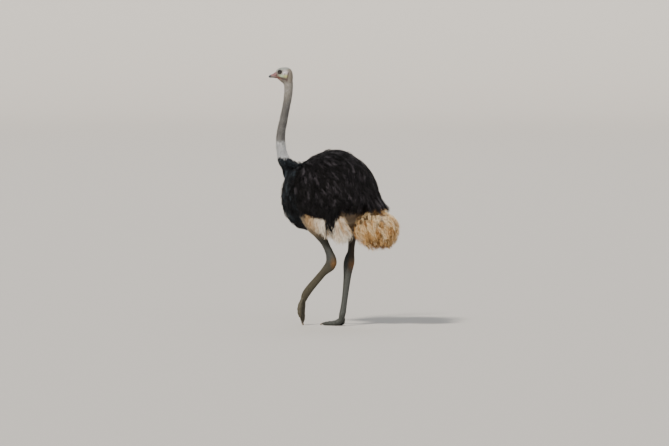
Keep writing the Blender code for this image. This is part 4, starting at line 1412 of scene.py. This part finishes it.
def make_body_coat():
    """Black plumes over trunk and wings, in overlapping courses, longer towards the rump. The
    wings' own plumes are pieces of their own."""
    rng = np.random.default_rng(11)
    ways = BODY.spread(BODY_PLUMES, rng)
    roots = BODY.place(ways)
    neck = (BODY.distance(ways) > BODY_REACH - 0.008) & (ways[:, 2] > 0.2) & (ways[:, 1] < 0)
    kept = (bare_flank(roots) < 0.5) & ~neck
    ways, roots = ways[kept], roots[kept]
    count = len(ways)
    u, v = Form.unwrap(ways)
    lengths = (0.085 + 0.045 * ease(v, 0.2, 0.8)) * rng.uniform(0.75, 1.3, count)
    behind_lock = ease(roots[:, 1], LOCK + 0.02, LOCK + 0.08)
    edge = behind_lock * (1 - ease(roots[:, 2], COAT_EDGE + 0.03, COAT_EDGE + 0.14))
    lengths = lengths * (1 - 0.45 * edge)
    levels = rng.uniform(0.55, 1.05, count) + 0.15 * (rng.uniform(0, 1, count) > 0.93)
    tips = np.minimum(rng.normal(-0.02, 0.14, count), 0.12)
    angles = rng.normal(0, 0.17, count) + 0.35 * ripple(roots, 0.16, 41)
    hang = np.where(roots[:, 1] > BELLY_BACK, 0.8, 0.25)
    shafts, outs = lie(BODY, body_depth, ways, lengths, levels, body_lie, angles, tips, hang=hang)
    streaks = ripple(roots * np.array([1.0, 0.8, 0.4]), 0.026, 42)
    # Painted shadow: tones darkened in a band where the wing's front edge meets the breast.
    wing_front_shadow = hump(roots[:, 1], TRUNK_LOW[1] + 0.30, 0.035)
    wing_front_shadow = wing_front_shadow * (roots[:, 2] < TRUNK_HIGH[2] - 0.12)
    tones = 0.42 + 0.40 * streaks + rng.normal(0, 0.22, count) - 0.30 * wing_front_shadow
    tones = np.clip(tones, 0, 1)
    maps = np.stack([u, v], axis=1)
    # Each plume belongs to the stretch of the coat where its root is: breast in front, rump
    # behind, and between them back, flanks and belly by the turn.
    left = np.cos(2 * np.pi * u) > 0
    above, below = (u > 0.125) & (u < 0.375), (u > 0.66) & (u < 0.84)
    place = np.where(above, 2, np.where(below, 5, np.where(left, 3, 4)))
    place = np.where(v < 0.30, np.where(left, 0, 6), place)
    place = np.where(v > 0.76, 1, place)
    cool, warm = black_plume_finish(), worn_plume_finish()
    names = (("plumage_breast_left", cool, "body_plumage"),
             ("plumage_rump", warm, "body_plumage"),
             ("plumage_back", warm, "body_plumage"),
             ("wing_coverts_left", warm, "wing_plumage", "wing_left"),
             ("wing_coverts_right", warm, "wing_plumage", "wing_right"),
             ("plumage_belly", cool, "body_plumage"),
             ("plumage_breast_right", cool, "body_plumage"))
    for number, (name, material, slot, *nodes) in enumerate(names):
        coat = Coat(50 + number)
        mine = place == number
        coat.add(shafts[mine], outs[mine], maps[mine], barbs=11, spread=0.015, width=0.0034,
                 tone=tones[mine], own=0.15)
        coat.make(name, material, slot, *nodes)
    return cool, warm


def hanging(roots, tips, bulges, steps=10):
    """Shafts on the parabola from root to tip that is pulled towards a third place."""
    t = np.linspace(0, 1, steps + 1)[None, :, None]
    a, b, c = roots[:, None], bulges[:, None], tips[:, None]
    return a * (1 - t) ** 2 + 2 * b * t * (1 - t) + c * t**2


def make_wing_fringe(number, rng, material):
    """Black plumes that hang off a wing's lower edge over the white ones, with one long lock. They
    are shorter ahead of the lock and behind it."""
    side, sign = SIDES[number]
    count = FRINGE_PLUMES
    y = rng.uniform(BELLY_BACK - 0.04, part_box("wing_left")[1].y - 0.01, count)
    lock = ease(y, LOCK - 0.058, LOCK - 0.046) * (1 - ease(y, LOCK + 0.036, LOCK + 0.048))
    lock = lock * (rng.uniform(0, 1, count) > 0.15)
    before, behind = 1 - ease(y, BELLY_BACK, LOCK - 0.03), ease(y, LOCK + 0.02, LOCK + 0.06)
    z = COAT_EDGE + rng.uniform(0.0, 0.07, count) + 0.025 * behind
    away = np.tile(LEFT * sign, (count, 1))
    level_ways = unit(np.stack([away[:, 0] * 0.26, y, z], axis=1) - BODY.middle)
    roots = BODY.place(level_ways, 0.022)
    length = rng.uniform(0.07, 0.12, count) * (1 - 0.6 * behind)
    length = length + (1 - behind) * (0.045 - 0.075 * before)
    length = length + 0.85 * lock * (0.262 - length)
    back = (0.25 * (1 - lock)) * length + rng.normal(0, 0.006, count)
    tips = roots - UP * length[:, None] + BACK * back[:, None]
    tips = tips + away * (0.024 * rng.uniform(0.2, 1.0, count) + 0.026 * lock)[:, None]
    bulges = (roots + tips) / 2 + away * (0.028 + 0.014 * lock)[:, None] + UP * 0.01
    coat = Coat(64 + number)
    coat.add(hanging(roots, tips, bulges), away, np.stack(Form.unwrap(level_ways), axis=1),
             barbs=14, spread=0.012, width=0.0032, tone=rng.uniform(0.0, 0.6, count), own=0.15)
    coat.make("wing_fringe_" + side, material, "wing_plumage")


def make_rump_fringe(rng, material):
    """Black plumes that fall from the rump over the root of the tail."""
    count = RUMP_PLUMES
    x = rng.uniform(-0.15, 0.15, count)
    z = TRUNK_HIGH[2] - rng.uniform(0.36, 0.46, count)
    ways = unit(np.stack([x, np.full(count, TRUNK_HIGH[1]), z], axis=1) - BODY.middle)
    roots = BODY.place(ways, 0.03)
    tips = np.stack([x * 1.15, TRUNK_HIGH[1] + rng.uniform(0.000, 0.050, count) - 1.6 * x**2,
                     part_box("tail")[1].z + rng.uniform(-0.050, 0.01, count)], axis=1)
    bulges = roots + (BACK * 0.045 - UP * 0.04)
    coat = Coat(66)
    coat.add(hanging(roots, tips, bulges), ways, np.stack(Form.unwrap(ways), axis=1), barbs=14,
             spread=0.013, width=0.0032, own=0.15)
    coat.make("rump_fringe", material, "body_plumage")


def make_fringes(material):
    """The fringes of both wings and of the rump."""
    rng = np.random.default_rng(59)
    for number in range(len(SIDES)):
        make_wing_fringe(number, rng, material)
    make_rump_fringe(rng, material)


def make_white_plumes():
    """Fans of big soft white plumes under each wing: shafts root along the wing's underside and
    sweep down and back, and many long barbs curl off each."""
    material = white_plume_finish()
    for number, (side, sign) in enumerate(SIDES):
        rng = np.random.default_rng(70 + number)
        low, high = (np.array(corner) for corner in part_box("wing_plumes_" + side))
        solids = triangles_of("wing_plumes_" + side)
        count = WHITE_PLUMES
        a = (np.arange(count) * GOLDEN + rng.uniform(0, 0.01, count)) % 1
        layer = rng.uniform(0, 1, count)
        inner, outer = sorted((abs(low[0]), abs(high[0])))
        tip_y = low[1] + 0.022 + (high[1] - low[1] - 0.045) * a
        root_y = low[1] + 0.030 + (high[1] - low[1]) * 0.66 * a
        starts = np.stack([np.full(count, sign * (inner + outer) / 2), tip_y,
                           np.full(count, high[2] + 0.1)], axis=1)
        under = starts[:, 2] - reach(starts, np.tile(-UP, (count, 1)), solids)
        reach_down = 0.62 + 0.38 * rng.uniform(0, 1, count) ** 0.6
        top = high[2] - 0.010 - 0.018 * a
        tip_z = top - (top - under - 0.004) * reach_down
        wide = inner + (outer - inner) * (0.25 + 0.65 * layer)
        roots = np.stack([sign * (inner + 0.022 + 0.02 * layer), root_y, top], axis=1)
        tips = np.stack([sign * wide * (1 - 0.08 * reach_down), tip_y, tip_z], axis=1)
        bulges = (roots + tips) / 2 + rng.normal(0, 0.012, (count, 3))
        bulges[:, 0] = sign * (wide + 0.020)
        bulges[:, 2] += 0.03
        outs = unit(LEFT * sign + rng.normal(0, 0.22, (count, 3)))
        maps = np.stack([0.1 + 0.8 * a, 0.2 + 0.6 * layer], axis=1)
        coat = Coat(74 + number)
        coat.add(hanging(roots, tips, bulges), outs, maps, barbs=80, spread=0.025, width=0.0024,
                 overrun=0.9, curl=0.014, reach_share=0.32,
                 tone=rng.uniform(0.0, 1.1, count) * ease(a, -0.06, 0.52), own=0.2)
        coat.make("white_plumes_" + side, material, "white_plumage", "wing_plumes_" + side)


def make_tail():
    """The mop of tail plumes: courses that flow out from its root and hang down all round."""
    material = tail_plume_finish()
    rng = np.random.default_rng(80)
    low, high = (np.array(corner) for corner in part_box("tail"))
    root = np.array([0.0, low[1] + 0.24 * (high[1] - low[1]), high[2]])

    def flow(places):
        away = (places - root) * np.array([1.0, 1.0, 0.0])
        return unit(unit(away) * 0.9 - UP)

    coat = Coat(81)
    for count, level, length, barbs in TAIL_COURSES:
        ways = TAIL.spread(count, rng)
        ways = ways[ways[:, 2] > -0.72]
        count = len(ways)
        lengths = length * rng.uniform(0.7, 1.35, count)
        levels = level * rng.uniform(0.78, 1.06, count)
        angles = rng.normal(0, 0.22, count)
        tips = rng.normal(-0.04, 0.05, count)
        shafts, outs = lie(TAIL, tail_depth, ways, lengths, levels, flow, angles, tips, rise=0.3,
                           hang=0.75, steps=9)
        height = (TAIL.place(ways)[:, 2] - low[2]) / (high[2] - low[2])
        # Tones rise towards the top of the mop. Scaled by the course's level below, the inner course
        # is darker: painted shade deep in the mop.
        tones = np.clip(0.12 + 0.65 * height + rng.normal(0, 0.30, count), 0, 1)
        coat.add(shafts, outs, np.stack(Form.unwrap(ways), axis=1), barbs=barbs, spread=0.018,
                 width=0.0019, overrun=0.9, curl=0.011, reach_share=0.34, tone=tones * level,
                 own=0.2)
    coat.make("tail_plumes", material, "tail_plumage", "tail")


class Neck:
    """The skin's rings on head and neck: places, ways out of the skin, and lengths so far."""

    def __init__(self, rings, ways, at):
        self.rings, self.ways, self.at = rings, ways, at
        self.along = unit(np.gradient(rings.mean(axis=1), axis=0))

    def length_at(self, height):
        """Length along the neck where its middle has come down to a height."""
        heights = self.rings.mean(axis=1)[HEAD_ROWS:, 2]
        return np.interp(-height, -heights, self.at[HEAD_ROWS:])

    def drawn(self, count, low, high, rng):
        """Even places between two lengths: fractional rows, sides, and places on the bake map."""
        s = rng.uniform(low, high, count)
        side = rng.uniform(0, NECK_SIDES, count)
        row = np.interp(s, self.at, np.arange(len(self.at)))
        return row, side.astype(int), np.stack([side / NECK_SIDES, s / self.at[-1]], axis=1)

    def sown(self, count, low, high, rng):
        """Even places on the skin between two lengths, the ways out of it and along it there, and
        places on the bake map."""
        row, j, maps = self.drawn(count, low, high, rng)
        i = row.astype(int)
        nearer = self.rings[np.minimum(i + 1, len(self.at) - 1), j]
        share = (row - i)[:, None]
        roots = self.rings[i, j] * (1 - share) + nearer * share
        return roots, self.ways[i, j], self.along[i], maps


def standing(roots, outs, flow, lengths, lifts, drop):
    """Short shafts that leave the skin at a slant and bend back towards it."""
    rise = lifts[:, None, None] * (HAIR - 0.6 * HAIR**2) * 2.4
    run = lengths[:, None, None] * HAIR
    return (roots[:, None] + flow[:, None] * run + outs[:, None] * (rise - 0.0006)
            - UP * (drop[:, None, None] * HAIR**2))


def down(sown, rng, lengths, sway, drop):
    """Short down on sown places: lengths drawn between two, the lie turned by about `sway`, and
    tips that drop by a share of the length. Returns shafts, ways out and places on the map."""
    roots, outs, flow, maps = sown
    lengths = rng.uniform(*lengths, len(roots))
    lifts = neck_coat_depth(roots[:, 2]) * rng.uniform(0.45, 1.05, len(roots))
    flow = turned(flow, outs, rng.normal(0, sway, len(roots)))
    return standing(roots, outs, flow, lengths, lifts, lengths * drop), outs, maps


def make_neck_down(neck):
    """Short grey down from the nape to the collar, paler near the head."""
    rng = np.random.default_rng(90)
    coat = Coat(91)
    sown = neck.sown(NECK_DOWN, 0.155, neck.length_at(COLLAR_TOP) + 0.05, rng)
    tufts = down(sown, rng, lengths=(0.007, 0.014), sway=0.35, drop=0.1)
    roots = sown[0]
    tones = (0.42 + 0.4 * ripple(roots, 0.04, 92) + rng.normal(0, 0.2, len(roots))
             + 0.25 * ease(roots[:, 2] - EYES[2], -0.33, -0.18))
    coat.add(*tufts, barbs=3, spread=0.0022, width=0.0008, curl=0.0012, thick=0.0002,
             tone=np.clip(tones, 0, 1))
    coat.make("down_neck", down_finish(), "neck_down")


def make_collar_down(neck):
    """Longer white down on the collar, ragged at both edges."""
    rng = np.random.default_rng(93)
    coat = Coat(94)
    low, high = neck.length_at(COLLAR_TOP) - 0.03, neck.length_at(COLLAR_FOOT) + 0.03
    kept = neck.sown(COLLAR_DOWN, low, high, rng)
    height = neck_height(kept[0]) - COLLAR_FOOT
    white = height > rng.normal(0, 0.008, len(height))
    white &= height < rng.uniform(0.085, 0.165, len(height))
    kept = [rows[white] for rows in kept]
    tufts = down(kept, rng, lengths=(0.016, 0.030), sway=0.3, drop=0.2)
    coat.add(*tufts, barbs=5, spread=0.005, width=0.0016, curl=0.003, thick=0.0003)
    coat.make("down_collar", collar_finish(), "neck_down")


def make_neck_foot(neck, material):
    """Black plumes round the neck's foot below the collar: short ones all round it, long ones from
    there onto the breast, and long ones behind it that lie back over the shoulders."""
    rng = np.random.default_rng(95)
    coat = Coat(96)
    kept = neck.sown(FOOT_PLUMES, neck.length_at(COLLAR_FOOT) - 0.03, neck.at[-1] - 0.03, rng)
    ragged = COLLAR_FOOT + 0.004 + rng.normal(0, 0.008, FOOT_PLUMES)
    inward = kept[0] - BODY.middle
    shown = np.linalg.norm(inward, axis=1) > BODY.distance(unit(inward)) - 0.052
    below = (neck_height(kept[0]) < ragged) & shown
    roots, outs, flow, maps = (rows[below] for rows in kept)
    count = len(roots)
    deep = ease(COLLAR_FOOT - roots[:, 2], 0.0, 0.15)
    front = ease(-outs[:, 1], 0.1, 0.8)
    lengths = (0.030 + 0.060 * deep * (1 - 0.35 * front)) * rng.uniform(0.75, 1.25, count)
    lifts = neck_coat_depth(roots[:, 2]) * rng.uniform(0.55, 1.1, count)
    lifts = lifts * (1 - 0.35 * front * deep)
    flow = unit(flow - UP * (0.4 * deep * (1 - 0.6 * front))[:, None])
    flow = flow - outs * np.minimum((flow * outs).sum(-1, keepdims=True), 0)
    flow = turned(unit(flow), outs, rng.normal(0, 0.2, count))
    coat.add(standing(roots, outs, flow, lengths, lifts, lengths * 0.1), outs, maps, barbs=12,
             spread=0.010, width=0.0028)
    in_front = (outs[:, 1] < -0.1) & (deep > 0.35)
    long_plumes = (breast_plumes(roots[in_front], outs[in_front], maps[in_front], rng),
                   nape_plumes(rng))
    for shafts, outs, maps in long_plumes:
        coat.add(shafts, outs, maps, barbs=12, spread=0.012, width=0.0030)
    coat.make("plumage_neck_foot", material, "body_plumage")


def breast_plumes(roots, outs, maps, rng):
    """Shafts from the foot of the neck down onto the breast, just outside its outline."""
    aim = roots - UP * rng.uniform(0.055, 0.105, len(roots))[:, None] - BODY.middle
    aim[:, :2] *= 1.12
    tips = BODY.place(unit(aim), -0.004)
    bulges = (roots + tips) / 2 + outs * 0.018
    return hanging(roots, tips, bulges), outs, maps


def nape_plumes(rng):
    """Shafts behind the neck's foot that lie back over the shoulders: roots and tips are read off
    the solids by rays cast up from inside the trunk, and those that meet none are left out."""
    count = NAPE_PLUMES
    starts = np.stack([rng.uniform(-0.07, 0.07, count),
                       COLLAR_MIDDLE + rng.uniform(0.05, 0.19, count),
                       np.full(count, COLLAR_FOOT - 0.20)], axis=1)
    ends = starts + BACK * rng.uniform(0.055, 0.085, count)[:, None]
    solids = triangles_of("trunk", "wing_left", "wing_right", "neck_lower")
    rise, end_rise = (reach(low, np.tile(UP, (count, 1)), solids, 0.19)
                      for low in (starts, ends))
    on_back = (rise > 0.03) & (end_rise > 0.03)
    roots = (starts + UP * (rise - 0.016)[:, None])[on_back]
    tips = (ends + UP * (end_rise + 0.002)[:, None])[on_back]
    outs = np.tile(unit(UP + BACK * 0.3), (len(roots), 1))
    maps = np.stack([0.25 + roots[:, 0], 0.95 + 0.3 * (roots[:, 1] - COLLAR_MIDDLE)], axis=1)
    bulges = (roots + tips) / 2 + UP * 0.030
    return hanging(roots, tips, bulges), outs, maps


def make_head_down(neck, rng):
    """Tiny pale bristles over crown, cheeks and nape that lie back from the bill, and leave eyes
    and gape clear."""
    row, j, maps = neck.drawn(FACE_BRISTLES, 0.012, 0.165, rng)
    i = row.astype(int)
    roots, outs = neck.rings[i, j], neck.ways[i, j]
    ahead, up, out = face_places(roots)
    clear = np.minimum(np.hypot(ahead, up) / 0.0235, from_line(ahead, up, FACE_LINES[0]) / 0.005)
    kept = np.where(out < 0.012, 2.0, clear) > 1
    roots, outs, maps = roots[kept], outs[kept], maps[kept]
    flow = unit(-AHEAD - UP * 0.35 + rng.normal(0, 0.25, (len(roots), 3)))
    flow = unit(flow - outs * (flow * outs).sum(-1, keepdims=True))
    lengths = rng.uniform(0.0035, 0.0075, len(roots))
    shafts = (roots[:, None] + flow[:, None] * lengths[:, None, None] * HAIR
              + outs[:, None] * (0.0018 * (HAIR - 0.6 * HAIR**2) - 0.0003))
    coat = Coat(101)
    coat.add(shafts, outs, maps, barbs=3, spread=0.0010, width=0.00045, curl=0.0005,
             thick=0.00015)
    coat.make("down_head", down_finish(), "head_skin")


def add_lashes(coat, number, rng):
    """Lashes along both lids of an eye, which stand out with the gaze and bend away from it."""
    side, sign = SIDES[number]
    middle, gaze, front, up = eye_axes(side, sign)
    for count, low, high, long in LASHES:
        turn = np.pi * np.linspace(low, high, count) + rng.normal(0, 0.02, count)
        edge = lid_edge(turn) + 0.035
        spoke = np.cos(turn)[:, None] * front + np.sin(turn)[:, None] * up
        outs = np.cos(edge)[:, None] * gaze + np.sin(edge)[:, None] * spoke
        roots = middle + outs * (EYE_RADIUS + 0.0018)
        lengths = long * rng.uniform(0.75, 1.1, count) * (0.6 + 0.4 * np.abs(np.sin(turn)))
        run = lengths[:, None, None] * HAIR
        shafts = (roots[:, None] + (gaze * 0.9)[None, None] * run * (1 - 0.45 * HAIR)
                  + spoke[:, None] * run * (0.25 + 0.75 * HAIR))
        maps = np.stack([0.3 + 0.4 * turn / 6.3, 0.1 + 0.05 * number + 0 * turn], axis=1)
        coat.add(shafts, spoke, maps, barbs=1, spread=0.0001, width=0.0006, curl=0.0004,
                 overrun=1.0, rings=3, thick=0.00025, reach_share=1.0)


def add_ear_hairs(coat, number, rng):
    """Dark hairs round the rim of an ear hole, which lie back over it."""
    out_way = ACROSS * SIDES[number][1]
    ear = EYES + AHEAD * EAR[0] + UP * EAR[1]
    turn = rng.uniform(0, 2 * np.pi, EAR_HAIRS)
    wide = AHEAD * (EAR[2] * 0.8) * np.cos(turn)[:, None]
    roots = ear + wide + UP * (EAR[3] * 0.8) * np.sin(turn)[:, None]
    starts = roots - out_way * 0.002
    outs = np.tile(out_way, (EAR_HAIRS, 1))
    far = reach(starts, outs, triangles_of("head"))
    roots = starts + out_way * (far - 0.003)[:, None]
    run = rng.uniform(0.005, 0.010, EAR_HAIRS)[:, None, None] * HAIR
    shafts = roots[:, None] + unit(-AHEAD - UP * 0.3) * run + outs[:, None] * run * 0.3
    maps = np.stack([0.8 + 0 * turn, 0.1 + 0.05 * number + 0 * turn], axis=1)
    coat.add(shafts, outs, maps, barbs=2, spread=0.001, width=0.0004, curl=0.001, thick=0.00015)


def make_face_hairs(neck):
    """Bristles on the head, and the lashes and ear hairs of both sides."""
    rng = np.random.default_rng(100)
    make_head_down(neck, rng)
    coat = Coat(102)
    for number in range(len(SIDES)):
        add_lashes(coat, number, rng)
        add_ear_hairs(coat, number, rng)
    coat.make("lashes", bristle_finish(), "head_skin")


# ---------------------------------------------------------------- studio

FLOOR_REACH, BEND, WALL_TOP = 90.0, 14.0, 32.0  # flat floor's radius, bend's radius, wall's top


def make_stage():
    """A pale floor that curves up into a low round wall, far outside the bird."""
    turn = 2 * np.pi * np.arange(96) / 96
    bend = np.linspace(0, np.pi / 2, 9)[1:]
    radius = np.r_[0.02, 6.0, 25.0, FLOOR_REACH, FLOOR_REACH + BEND * np.sin(bend),
                   FLOOR_REACH + BEND]
    height = np.r_[0.0, 0.0, 0.0, 0.0, BEND * (1 - np.cos(bend)), WALL_TOP]
    rings = np.stack([radius[:, None] * np.cos(turn), radius[:, None] * np.sin(turn),
                      height[:, None] + 0 * turn], axis=-1)
    rows, sides = rings.shape[:2]
    faces = tube_faces(rows, sides)[: 2 * (rows - 1) * sides]
    mesh = bpy.data.meshes.new("studio_floor")
    mesh.from_pydata(rings.reshape(-1, 3).tolist(), [], faces.tolist())
    mesh.shade_smooth()
    floor = bpy.data.objects.new("studio_floor", mesh)
    bpy.context.scene.collection.objects.link(floor)
    material, _, shader = new_material("matt_studio_paper", roughness=0.9)
    shader.inputs["Base Color"].default_value = (*linear("#b9b6b1"), 1.0)
    mesh.materials.append(material)


def make_light():
    """A key light from the camera's left, a soft weaker fill from its right, a faint rim light from
    beyond the bird, and an even sky."""
    for name, azimuth, elevation, strength, spread, colour in (
        ("key", 90.0, 43.0, 5.1, 8.0, "#fff6ea"),
        ("fill", 140.0, 22.0, 1.3, 50.0, "#f3f6ff"),
        ("rim", -60.0, 40.0, 0.7, 40.0, "#ffffff"),
    ):
        sun = bpy.data.lights.new(name, "SUN")
        sun.energy = strength
        sun.angle = np.radians(spread)
        sun.color = linear(colour)
        lamp = bpy.data.objects.new(name, sun)
        turn, rise = np.radians(azimuth), np.radians(elevation)
        lamp.rotation_euler = (np.pi / 2 - rise, 0.0, turn)
        bpy.context.scene.collection.objects.link(lamp)
    world = bpy.data.worlds.new("studio")
    world.use_nodes = True
    background = world.node_tree.nodes["Background"]
    background.inputs["Color"].default_value = (*linear("#e9edf2"), 1.0)
    background.inputs["Strength"].default_value = 0.5
    bpy.context.scene.world = world


def make_camera():
    """A long lens 60 m away on the bird's left, 33 degrees behind square to it, that looks down by
    2 degrees."""
    camera = bpy.data.cameras.new("camera")
    camera.lens = 361.6
    camera.sensor_width = 36.0
    camera.clip_end = 400.0
    holder = bpy.data.objects.new("camera", camera)
    turn, rise, distance = np.radians(123.0), np.radians(2.0), 60.0
    back = np.array([np.sin(turn) * np.cos(rise), -np.cos(turn) * np.cos(rise), np.sin(rise)])
    target = np.array([0.0, -0.016, 0.916])
    holder.location = target + back * distance
    holder.rotation_euler = (np.pi / 2 - rise, 0.0, turn)
    bpy.context.scene.collection.objects.link(holder)
    bpy.context.scene.camera = holder


def main():
    neck = make_skin()
    make_bill()
    make_claws()
    make_eyes()
    black, worn = make_body_coat()
    make_fringes(worn)
    make_white_plumes()
    make_tail()
    make_neck_down(neck)
    make_collar_down(neck)
    make_neck_foot(neck, black)
    make_face_hairs(neck)
    make_stage()
    make_light()
    make_camera()


main()
